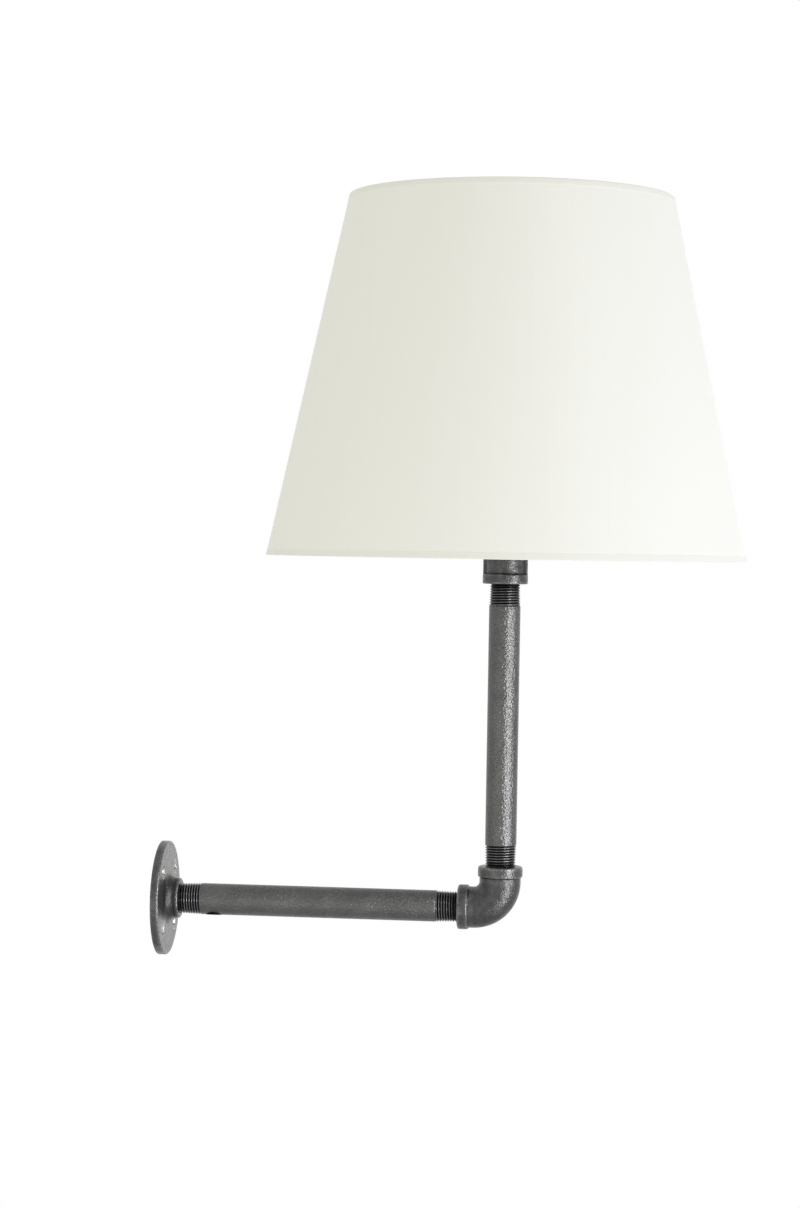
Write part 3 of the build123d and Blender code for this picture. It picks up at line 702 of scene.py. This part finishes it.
def swept(path, radius):
    """A round wire along a list of points, with flat ends."""
    points = [Vector(point) for point in path]
    start = (points[1] - points[0]).normalized()
    side = Vector((0, 0, 1)) if abs(start.z) < upright else Vector((1, 0, 0))
    rings = []
    for number, point in enumerate(points):
        ahead = points[min(number + 1, len(points) - 1)] - points[max(number - 1, 0)]
        ahead.normalize()
        side = (side - ahead * side.dot(ahead)).normalized()
        other = ahead.cross(side)
        spokes = [math.cos(angle) * side + math.sin(angle) * other for angle in circle(wire_segments)]
        rings.append([point + radius * spoke for spoke in spokes])
    rings = [[points[0]] * wire_segments] + rings + [[points[-1]] * wire_segments]
    return skin(rings, loop=False)


def mesh_data(name, mesh):
    """A finished mesh as data for an object."""
    data = bpy.data.meshes.new(name)
    mesh.to_mesh(data)
    mesh.free()
    return data


def placed(name, data):
    """A new object in the scene."""
    thing = bpy.data.objects.new(name, data)
    bpy.context.scene.collection.objects.link(thing)
    return thing


def joined(*meshes):
    """Several meshes as one."""
    whole = bmesh.new()
    for mesh in meshes:
        data = mesh_data("part", mesh)
        whole.from_mesh(data)
        bpy.data.meshes.remove(data)
    return whole


def carved(mesh, tool, operation="DIFFERENCE"):
    """A mesh cut by, or united with, another one."""
    objects = [placed("part", mesh_data("part", part)) for part in (mesh, tool)]
    cut = objects[0].modifiers.new("cut", "BOOLEAN")
    cut.operation = operation
    cut.solver = "EXACT"
    cut.object = objects[1]
    bpy.context.view_layer.update()
    result = objects[0].evaluated_get(bpy.context.evaluated_depsgraph_get())
    whole = bmesh.new()
    whole.from_mesh(result.to_mesh())
    result.to_mesh_clear()
    for piece in objects:
        data = piece.data
        bpy.data.objects.remove(piece)
        bpy.data.meshes.remove(data)
    return whole


def dress(name, mesh, nodes, sharp=sharp_angle):
    """A finished piece that rides with the CAD nodes it stands for and takes their finish."""
    data = mesh_data(name, mesh)
    data.polygons.foreach_set("use_smooth", [True] * len(data.polygons))
    data.set_sharp_from_angle(angle=math.radians(sharp))
    piece = placed(name, data)
    data.materials.append(finishes[node_slot(nodes[0])])
    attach(piece, node_body(nodes[0]))
    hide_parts(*nodes)
    return piece


def rectangle(inner, outer, low, high):
    """A half section with square corners."""
    return [(inner, low), (outer, low), (outer, high), (inner, high)]


# Pipe fittings

def make_flange():
    """Wall flange with a flared hub and countersunk holes."""
    height, rim = flange_high.x, flange_high.z
    outline = divided(
        rounded(
            [
                (socket_bore, 0), (rim, 0), (rim, flange_plate), (hub_foot, flange_plate),
                (hub_end, flange_plate + hub_flare), (hub_end, height), (socket_bore, height),
            ],
            flange_rounds,
        )
    )
    # the hub darkens away from the plate as painted shading
    marks = casting_light_and_wear(
        outline, lambda radius, along: min(1, hub_painted_shading * max(0, along - flange_plate) / hub_flare)
    )
    mesh = turned(outline, flange_segments, around_arm, marks)
    screws = mounts["wall_screws"]["dims"]
    bore, circle_radius = screws["hole_r_mm"] * MM, screws["pcd_mm"] * MM / 2
    sink = flange_plate - (sink_radius - bore)
    end = flange_plate + overshoot
    profile = [
        (0, -overshoot), (bore, -overshoot), (bore, sink - 2 * sink_edge), (bore, sink),
        (sink_radius, flange_plate), (sink_radius + overshoot, end), (0, end),
    ]
    centres = []
    for number in range(screws["count"]):
        angle = math.radians(screw_angle + 360 / screws["count"] * number)
        centre = Vector((0, circle_radius * math.cos(angle), circle_radius * math.sin(angle)))
        drill = turned(profile, screw_segments, lambda r, a, h: centre + around_arm(r, a, h))
        mesh = carved(mesh, drill)
        centres.append(centre)
    # Countersinks get painted glints with bare metal; the bores below them get painted shading
    glint_and_bare = mesh.verts.layers.float.new("glint_and_bare")
    painted_shading = mesh.verts.layers.float["painted_shading"]
    for vertex in mesh.verts:
        flat = Vector((0, vertex.co.y, vertex.co.z))
        sunk = min((flat - centre).length for centre in centres) < sink_radius + sink_edge
        shallow = vertex.co.x > sink - sink_edge
        vertex[glint_and_bare] = 1.0 if sunk and shallow else 0.0
        if sunk and not shallow:
            vertex[painted_shading] = 1.0
    dress("wall_flange_casting", mesh, ["wall_flange"])


def thread_form(along, angle):
    """Radius and crest share of the tapered thread at a distance from the pipe's end."""
    if along >= thread_length:
        return pipe_radius, 0.0
    crest = pipe_radius - thread_taper * (thread_length - along)
    phase = (along / thread_pitch - angle / (2 * math.pi)) % 1
    height = min(1, max(0, (abs(2 * phase - 1) - thread_flat) / (1 - 2 * thread_flat)))
    fade = min(1, (thread_length - along) / (thread_fade * thread_pitch))
    chamfer = max(0, thread_chamfer - along)
    return crest - thread_depth * (1 - height) * fade - chamfer, height


def make_pipe(length, place):
    """Pipe with a helical thread cut at each end."""
    step = thread_pitch / thread_samples
    near = [number * step for number in range(thread_turns * thread_samples + 1)]
    plain_start = thread_length + thread_runout
    stations = near + [plain_start, length / 2, length - plain_start]
    stations += [length - along for along in reversed(near)]
    angles = circle(round_segments)
    rings, crests, masks = [], [], []
    for station in stations:
        from_end = min(station, length - station)
        turn = 1 if station < length / 2 else -1
        forms = [thread_form(from_end, turn * angle) for angle in angles]
        rings.append([place(radius, angle, station) for (radius, _), angle in zip(forms, angles)])
        # crest tone darkens near the fitting's mouth as painted shading
        mouth_shading = min(1, max(mouth_shading_least, (from_end - thread_engaged) / thread_shade))
        crests.append([mouth_shading * crest for _, crest in forms])
        masks.append([min(1, max(0, thread_length - from_end) / thread_pitch)] * round_segments)
    for station in (length, 0):
        rings.append([place(pipe_bore, angle, station) for angle in angles])
        crests.append([0.0] * round_segments)
        masks.append([0.0] * round_segments)
    return skin(rings, fields={"crest": crests, "thread": masks})


def make_arm():
    """Arm with the cord's hole."""
    mesh = make_pipe(arm_high.x - arm_low.x, lambda r, a, h: around_arm(r, a, arm_low.x + h))
    profile = rectangle(0, cord_hole_radius, 0, 2 * pipe_radius)
    mesh = carved(mesh, turned(profile, medium_segments, around_cord))
    dress("arm_pipe_threaded", mesh, ["arm_pipe"], thread_sharp)


def make_bush():
    """Rubber bush in the cord's hole: its flat face ends level with the pipe's lowest line."""
    outer = cord_hole_radius - bush_slip
    outline = rounded(
        [(bush_bore, pipe_bore), (bush_bore, pipe_radius), (outer, pipe_radius), (outer, pipe_bore)],
        [0, bush_round, bush_round, 0],
    )
    dress("cord_bush_rubber", turned(outline, place=around_cord), ["cord_bush"])


def make_riser():
    """Riser pipe."""
    mesh = make_pipe(riser_high.z - riser_low.z, lambda r, a, h: around_head(r, a, riser_low.z + h))
    dress("riser_pipe_threaded", mesh, ["riser_pipe"], thread_sharp)


def make_elbow():
    """Elbow swept round its bend, with a rounded band at each mouth."""
    reach, band = elbow_high.z, elbow_high.y
    straight = reach - elbow_bend
    arc = elbow_bend * math.pi / 2
    total = 2 * straight + arc

    def place(radius, angle, along):
        """A point round the elbow's bent axis."""
        turn = min(max((along - straight) / elbow_bend, 0), math.pi / 2)
        ahead = Vector((math.cos(turn), 0, math.sin(turn)))
        inward = Vector((-math.sin(turn), 0, math.cos(turn)))
        centre = Vector((riser_x - elbow_bend, 0, elbow_bend)) - elbow_bend * inward
        centre += ahead * (min(along - straight, 0) + max(along - straight - arc, 0))
        return centre + radius * (math.cos(angle) * inward + math.sin(angle) * Vector((0, 1, 0)))

    mouth = rounded(
        [
            (socket_bore, 0), (band, 0), (band, elbow_band),
            (elbow_body, elbow_band + elbow_band_step), (elbow_body, straight + elbow_band_run),
        ],
        elbow_rounds,
        closed=False,
    )
    bend = [(elbow_body, straight + arc * step / elbow_steps) for step in range(2, elbow_steps - 1)]
    far = [(radius, total - along) for radius, along in reversed(mouth)]
    inside = [(socket_bore, total - total * step / passage_steps) for step in range(1, passage_steps)]
    outline = divided(mouth + bend + far + inside)
    # the elbow's body takes painted shading
    marks = casting_light_and_wear(outline, lambda radius, along: elbow_painted_shading if radius <= elbow_body else 0)
    dress("elbow_casting", turned(outline, place=place, marks=marks), ["elbow"])


def make_coupling():
    """Banded coupling with two ribs."""
    bottom, top, band = coupling_low.z, coupling_high.z, coupling_high.y
    low, high = bottom + coupling_band, top - coupling_band
    outline = divided(
        rounded(
            [
                (socket_bore, bottom), (band, bottom), (band, low), (coupling_body, low + coupling_step),
                (coupling_body, high - coupling_step), (band, high), (band, top), (socket_bore, top),
            ],
            coupling_rounds + coupling_rounds[::-1],
        )
    )
    mesh = turned(outline, coupling_segments, marks=casting_light_and_wear(outline))
    section = rectangle(coupling_body - rib_root, band - rib_drop, -rib_half, rib_half)
    corners = rounded(section, rib_rounds)
    centre = Vector((riser_x, 0, 0))
    for side in (0, math.pi):
        turn = Matrix.Rotation(side, 3, "Z")
        rings = []
        for height in (low - overshoot, high + overshoot):
            rings.append([centre + turn @ Vector((out, across, height)) for out, across in corners])
        lids = [[sum(ring, Vector()) / len(ring)] * len(ring) for ring in rings]
        mesh = carved(mesh, skin([lids[0], *rings, lids[1]], loop=False), "UNION")
    dress("coupling_casting", mesh, ["coupling"])


# Harp, socket and bulb

def make_harp():
    """Harp wire with its crown pad."""
    half_width = harp_high.y - wire_radius
    leg_top = harp_low.z + harp_leg
    flare_top = leg_top + harp_flare
    side = [
        (harp_foot, harp_low.z), (harp_foot, leg_top), (half_width, flare_top),
        (half_width, flare_top + harp_side), (harp_crown, harp_high.z - pad_thickness / 2),
    ]
    outline = side + [(-across, height) for across, height in reversed(side)]
    path = rounded(outline, harp_bends + harp_bends[::-1], closed=False, steps=harp_steps)
    wire = swept([(riser_x, across, height) for across, height in path], wire_radius)
    pad_radius = (harp_high.x - harp_low.x) / 2
    section = rectangle(pad_bore, pad_radius, harp_high.z - pad_thickness, harp_high.z)
    pad = rounded(section, pad_rounds)
    dress("harp_wire", joined(wire, turned(pad, medium_segments)), ["harp_bow"])


def make_ferrules():
    """Sleeves over the harp's feet, with a rolled lip at each end."""
    for node in ("harp_ferrule_left", "harp_ferrule_right"):
        low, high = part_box(node)
        outer = (high.x - low.x) / 2
        centre = (low + high) / 2
        inner, waist = outer - ferrule_wall, outer - lip_rise
        outline = rounded(
            [
                (inner, low.z), (outer, low.z), (outer, low.z + lip_height), (waist, low.z + lip_end),
                (waist, high.z - lip_end), (outer, high.z - lip_height), (outer, high.z), (inner, high.z),
            ],
            ferrule_rounds,
        )
        mesh = turned(
            outline,
            small_segments,
            lambda r, a, h: Vector((centre.x + r * math.cos(a), centre.y + r * math.sin(a), h)),
        )
        dress(node + "_sleeve", mesh, [node])


def make_stud():
    """Swivel stud with a fine thread over its seat."""
    base, tip = stud_low.z, stud_high.z
    head_top, seat = base + rivet_head, harp_high.z + stud_flange
    flange = (stud_high.x - stud_low.x) / 2
    outline = [
        (0, base), (rivet_head_radius, base), (rivet_head_radius, head_top), (rivet_radius, head_top),
        (rivet_radius, harp_high.z), (flange, harp_high.z), (flange, seat), (stud_radius, seat),
    ]
    for number in range(int((tip - seat - stud_uncut) / stud_pitch)):
        start = seat + stud_plain + number * stud_pitch
        outline += [(stud_radius, start), (stud_root, start + stud_pitch / 2)]
    outline += [(stud_radius, tip - stud_chamfer), (stud_radius - stud_chamfer, tip), (0, tip)]
    dress("harp_swivel_stud", turned(outline, small_segments), ["swivel_stud"])


def make_cap():
    """Socket cap: hub, cone and skirt of spun sheet."""
    bottom, top, outer = cap_low.z, cap_high.z, cap_high.y
    shelf = bottom + cap_hub_height
    cone = shelf + cap_cone
    inner = outer - cap_wall
    outline = rounded(
        [
            (cap_hole, bottom), (cap_hub, bottom), (cap_hub, shelf), (outer, cone), (outer, top),
            (inner, top), (inner, cone + cap_wall), (cap_hub, shelf + cap_floor),
            (cap_hole, shelf + cap_floor),
        ],
        cap_rounds,
    )
    across = (screw_high.z - screw_low.z) / 2 + set_screw_slip
    middle = (screw_high.z + screw_low.z) / 2
    drill = turned(
        rectangle(0, across, -2 * cap_hub, 0),
        set_screw_segments,
        lambda r, a, h: Vector((riser_x + r * math.cos(a), h, middle + r * math.sin(a))),
    )
    dress("socket_cap_spun", carved(turned(outline), drill), ["socket_cap"])


def make_shell():
    """Socket shell with two pressed beads, a rolled rim and a window for the switch."""
    bottom, top = shell_low.z, shell_high.z
    inner = shell_radius - shell_wall
    outline = [(shell_radius, bottom)]
    for depth in press_depths:
        for step in range(press_steps + 1):
            share = step / press_steps * 2 - 1
            rise = press_rise * (1 - share**2)
            outline.append((shell_radius + rise, top - depth + share * press_half))
    rim_angles = [math.radians(angle) for angle in shell_rim_angles]
    outline += circle_points(shell_radius, top - shell_bead, shell_bead, rim_angles)
    outline += [(inner, top), (inner, bottom)]
    drill = turned(rectangle(0, switch_window, 0, 2 * shell_radius), small_segments, around_switch)
    dress("socket_shell_spun", carved(turned(outline), drill), ["socket_shell"])


def make_knob():
    """Fluted knob, domed at its end and rounded where it meets the shaft."""
    near, far = knob_low.x - riser_x, knob_high.x - riser_x
    radius, bore = (knob_high.z - knob_low.z) / 2, (shaft_high.z - shaft_low.z) / 2
    recess = shaft_high.x - riser_x
    outline = rounded(
        [
            (bore, near), (radius * knob_foot, near), (radius, near + knob_taper), (radius, far),
            (0, far), (0, recess), (bore, recess),
        ],
        knob_rounds,
    )
    rings = []
    for distance, along in outline:
        flute = flute_depth * max(0, distance / radius - flute_from) / (1 - flute_from)
        ring = []
        for angle in circle(knob_flutes * flute_segments):
            dip = flute * max(0, math.cos(knob_flutes * angle)) ** 2
            ring.append(around_switch(distance - dip, angle, along))
        rings.append(ring)
    dress("switch_knob_fluted", skin(rings), ["switch_knob"])


def make_bulb():
    """Bulb glass: a ball that runs into its neck."""
    bottom, top = glass_low.z, glass_high.z
    centre = top - bulb_ball
    waist = Vector((bulb_ball * math.cos(bulb_tangent), centre - bulb_ball * math.sin(bulb_tangent)))
    foot = Vector((bulb_neck, bottom))
    chord = foot - waist
    normal = Vector((math.cos(bulb_tangent), -math.sin(bulb_tangent)))
    hub = waist + normal * (chord.length_squared / (2 * chord.dot(normal)))
    neck = arc_points(hub, waist - hub, foot - hub, neck_steps)
    outline = [(bulb_neck - bulb_wall, bottom)] + neck[::-1]
    outline += circle_points(0, centre, bulb_ball, dome_angles(-bulb_tangent, ball_steps))
    outline += [(0, top - bulb_wall), (bulb_neck - bulb_wall, centre)]
    dress("bulb_opal", turned(outline), ["bulb_glass"], glass_sharp)


# Shade

def shade_radius(height, depth):
    """Radius of the shade at a height, at a depth inside the fabric's outer face."""
    return shade_wide - trim_cover - shade_slope * (height - shade_bottom) - depth


def wall_point(height, depth):
    """A point of the shade's half section."""
    return shade_radius(height, depth), height


def lap_rise(turn):
    """How far the cloth's lapped seam stands out at a turn from the back."""
    if turn <= seam_turn:
        return seam_rise
    return seam_rise * max(0, 1 - (turn - seam_turn) / (seam_fall * seam_turn))


def wrapped(outline, lapped=0, hem_shadings=None):
    """Cloth turned round the shade, mapped as its flat cut. The first lapped points carry the seam."""
    turns = circle(cloth_segments)
    turns += [seam_turn / 2, seam_turn, (1 + seam_fall) * seam_turn, 2 * math.pi - seam_step * seam_turn]
    turns.sort()
    rings = []
    for number, (radius, height) in enumerate(outline):
        rise = [lap_rise(turn) if number < lapped else 0 for turn in turns]
        rings.append(
            [around_head(radius + out, math.pi / 2 + turn, height) for turn, out in zip(turns, rise)]
        )
    lean = math.sin(math.atan(shade_slope))
    ends = turns + [2 * math.pi]

    def flat_cut(across, up):
        """The place of a mesh corner on the flat cut."""
        reach = shade_radius(outline[up % len(outline)][1], 0) / lean
        fan = (ends[across] - math.pi) * lean
        return reach * math.sin(fan), reach * math.cos(fan)

    # each section point carries its share of the hems' painted shading
    fields = {"hem_painted_shading": [[hem_painted_shading] * len(turns) for hem_painted_shading in hem_shadings or [0.0] * len(outline)]}
    return skin(rings, fields=fields, uv=flat_cut)


def hem_face(edge, rim):
    """Outer face of a hem: it swells out of the cloth at its edge and rolls in again at the rim."""
    face = []
    for step in range(hem_steps + 1):
        share = step / hem_steps
        rise = min(1, share * trim_height / hem_swell)
        turn = max(0, 1 - (1 - share) * trim_height / hem_turn)
        out = (hem_proud + hem_sink) * rise * rise * (3 - 2 * rise) - hem_sink
        out -= hem_roll * (1 - math.sqrt(1 - turn * turn))
        height = edge + (rim - edge) * share
        face.append(wall_point(height, -out))
    return face


def hem_shading_shares(outline):
    """How much painted shading each point of a hem's section shows: it sets in softly at the edge."""
    face = [min(1, step / hem_steps * trim_height / hem_soft) for step in range(hem_steps + 1)]
    return face + [1.0] * (len(outline) - len(face))


def make_shade():
    """Fabric cover with its hems over a stiff lining."""
    wall_bottom, wall_top = shade_bottom + trim_thickness, shade_top - trim_thickness
    low, high = shade_bottom + cloth_end, shade_top - cloth_end
    heights = [low + (high - low) * step / cloth_rows for step in range(cloth_rows + 1)]
    outside = [wall_point(height, 0) for height in heights]
    inside = [wall_point(height, cover_thickness) for height in (high, low)]
    mesh = wrapped(outside + inside, lapped=len(outside))
    cover = dress("shade_cloth", mesh, ["shade_cover"], cloth_sharp)

    near = cover_thickness + laminate_gap
    far = near + lining_thickness
    lining = [wall_point(height, far) for height in (wall_bottom, wall_top)]
    lining += [wall_point(height, near) for height in (wall_top, wall_bottom)]
    mesh = turned(lining, cloth_segments)
    dress("shade_stiff_lining", mesh, ["shade_lining"], cloth_sharp)

    band = shade_top - trim_height
    top = hem_face(band, shade_top) + [
        wall_point(shade_top, lip_depth - hem_lip),
        (shade_radius(shade_top, lip_depth), shade_top - hem_lip),
        wall_point(wall_top, lip_depth),
        wall_point(wall_top, -trim_gap),
        wall_point(band, 2 * hem_sink),
    ]
    band = shade_bottom + trim_height
    deep = lip_depth + trim_thickness
    bottom = hem_face(band, shade_bottom) + [
        *corner_arc(
            wall_point(shade_bottom, 0),
            wall_point(shade_bottom, deep),
            wall_point(band, deep),
            2 * trim_thickness,
        ),
        wall_point(band - hem_lip, deep),
        wall_point(band, lip_depth + trim_thickness / 2),
        wall_point(band - hem_lip, lip_depth),
        wall_point(wall_bottom, lip_depth),
        wall_point(wall_bottom, -trim_gap),
        wall_point(band, 2 * hem_sink),
    ]
    hems = [
        dress("shade_top_hem", wrapped(top, hem_shadings=hem_shading_shares(top)), ["top_trim"], cloth_sharp),
        dress("shade_bottom_hem", wrapped(bottom, hem_shadings=hem_shading_shares(bottom)), ["bottom_trim"], cloth_sharp),
    ]


def wire_ring(radius, height):
    """A round wire bent to a ring round the head."""
    section = circle_points(radius, height, frame_wire, circle(wire_segments))
    return turned(section, ring_segments)


def make_wires():
    """Bottom ring and spider of the shade."""
    ring = wire_ring(ring_high.y - frame_wire, (ring_low.z + ring_high.z) / 2)
    dress("shade_bottom_wire", ring, ["bottom_ring"])

    top_z = spider_high.z - frame_wire
    top_radius = shade_radius(top_z, ring_depth)
    middle = spider_low.z + frame_wire
    low, high = middle - washer_thickness / 2, middle + washer_thickness / 2
    washer = rounded(rectangle(washer_bore, washer_radius, low, high), washer_rounds)
    parts = [wire_ring(top_radius, top_z), turned(washer, medium_segments)]
    side = [(spider_start, middle), (spider_level, middle), (top_radius, top_z)]
    path = rounded(side, [0, spider_bend, 0], closed=False, steps=spider_steps)
    for number in range(spider_arms):
        angle = math.radians(spider_angle + 360 / spider_arms * number)
        parts.append(swept([around_head(out, angle, height) for out, height in path], frame_wire))
    dress("shade_spider_wire", joined(*parts), ["shade_spider"])


def make_finial():
    """Turned ball finial, bored for the stud."""
    base, centre = finial_low.z, finial_high.z - finial_ball
    foot_top, neck_low, neck_top = base + finial_foot, base + finial_neck_start, base + finial_neck_end
    outline = rounded(
        [
            (finial_bore, base), (finial_wide, base), (finial_wide, foot_top),
            (finial_neck, neck_low), (finial_neck, neck_top),
        ],
        finial_rounds,
        closed=False,
    )
    start = math.asin((neck_top - centre) / finial_ball)
    outline += circle_points(0, centre, finial_ball, dome_angles(start, dome_steps))
    bore_end = stud_high.z + finial_spare
    outline += [(0, bore_end), (finial_bore, bore_end)]
    dress("finial_ball", turned(outline, finial_segments), ["finial"])


# Light, floor and camera

def seen_rays(tree):
    """1 for the rays that see the background straight, in a reflection or through glass."""
    rays = tree.nodes.new("ShaderNodeLightPath")
    seen = combine(tree, "ADD", rays.outputs["Is Camera Ray"], rays.outputs["Is Glossy Ray"])
    seen = combine(tree, "ADD", seen, rays.outputs["Is Transmission Ray"])
    return combine(tree, "MINIMUM", seen, 1.0)


def make_world():
    """White surroundings that also light the object evenly."""
    world = bpy.data.worlds.new("studio")
    world.use_nodes = True
    tree = world.node_tree
    level = tree.nodes.new("ShaderNodeMapRange")
    feed(tree, level, {"Value": seen_rays(tree), "To Min": fill_level, "To Max": 1.0})
    feed(tree, tree.nodes["Background"], {"Color": (1, 1, 1, 1), "Strength": level.outputs["Result"]})
    bpy.context.scene.world = world


def floor_paint():
    """Pale floor paint that fades into the white surroundings towards the floor's edge."""
    material = grained("floor_paint", *floor_look, blotch=floor_blotch)
    tree = material.node_tree
    away = tree.nodes.new("ShaderNodeVectorMath")
    away.operation = "LENGTH"
    feed(tree, away, {0: tree.nodes.new("ShaderNodeTexCoord").outputs["Object"]})
    fade = tree.nodes.new("ShaderNodeMapRange")
    fade.interpolation_type = "SMOOTHSTEP"
    feed(tree, fade, {"Value": away.outputs["Value"], "From Min": floor_clear, "From Max": floor_half})
    share = combine(tree, "MULTIPLY", seen_rays(tree), fade.outputs["Result"])
    paint = tree.nodes["Principled BSDF"].outputs["BSDF"]
    glow = tree.nodes.new("ShaderNodeEmission").outputs["Emission"]
    mix = tree.nodes.new("ShaderNodeMixShader")
    feed(tree, mix, {"Fac": share, 1: paint, 2: glow})
    feed(tree, tree.nodes["Material Output"], {"Surface": mix.outputs["Shader"]})
    return material


def make_floor():
    """Pale floor under the lamp, clear of the photograph's frame."""
    mesh = bmesh.new()
    bmesh.ops.create_grid(mesh, x_segments=floor_cells, y_segments=floor_cells, size=floor_half)
    data = mesh_data("floor", mesh)
    floor = placed("floor", data)
    floor.location = (riser_x, 0, floor_height)
    data.materials.append(floor_paint())


def make_light(name, turn, distance, height, size, power, colour, diffuse, gloss):
    """Soft panel at a turn from the front, aimed at the lamp, for diffuse light, gloss or both."""
    light = bpy.data.lights.new(name, "AREA")
    light.shape = "RECTANGLE"
    light.size, light.size_y = size
    light.energy = power
    light.color = colour
    panel = placed(name, light)
    angle = math.radians(turn)
    target = Vector((riser_x, 0, light_target))
    panel.location = target + Vector((distance * math.sin(angle), -distance * math.cos(angle), height))
    panel.rotation_euler = (target - panel.location).to_track_quat("-Z", "Y").to_euler()
    panel.visible_camera = False
    panel.visible_diffuse = diffuse
    panel.visible_glossy = gloss


def make_camera():
    """Camera at the photograph's viewpoint."""
    azimuth, drop, roll = (math.radians(angle) for angle in (camera_azimuth, camera_drop, camera_roll))
    back = Vector(
        (math.sin(azimuth) * math.cos(drop), -math.cos(azimuth) * math.cos(drop), math.sin(drop))
    )
    level = Vector((math.cos(azimuth), math.sin(azimuth), 0))
    up = level.cross(-back)
    right = math.cos(roll) * level + math.sin(roll) * up
    above = -math.sin(roll) * level + math.cos(roll) * up
    data = bpy.data.cameras.new("camera")
    data.sensor_width = sensor
    data.lens = focal_pixels / image_height * sensor
    camera = placed("camera", data)
    facing = Matrix((right, above, back)).transposed().to_4x4()
    camera.matrix_world = Matrix.Translation(camera_place) @ facing
    bpy.context.scene.camera = camera


for node, shape in frame["nodes"].items():
    for slot in shape.material_slots:
        slot.material = finishes[node_slot(node)]

for make in (
    make_flange, make_arm, make_bush, make_elbow, make_riser, make_coupling, make_harp, make_ferrules,
    make_stud, make_cap, make_shell, make_knob, make_bulb, make_shade, make_wires, make_finial,
    make_world, make_floor,
):
    make()
for name, panel in panels.items():
    make_light(name, *panel)
make_camera()
bpy.context.scene.view_settings.view_transform = "Standard"
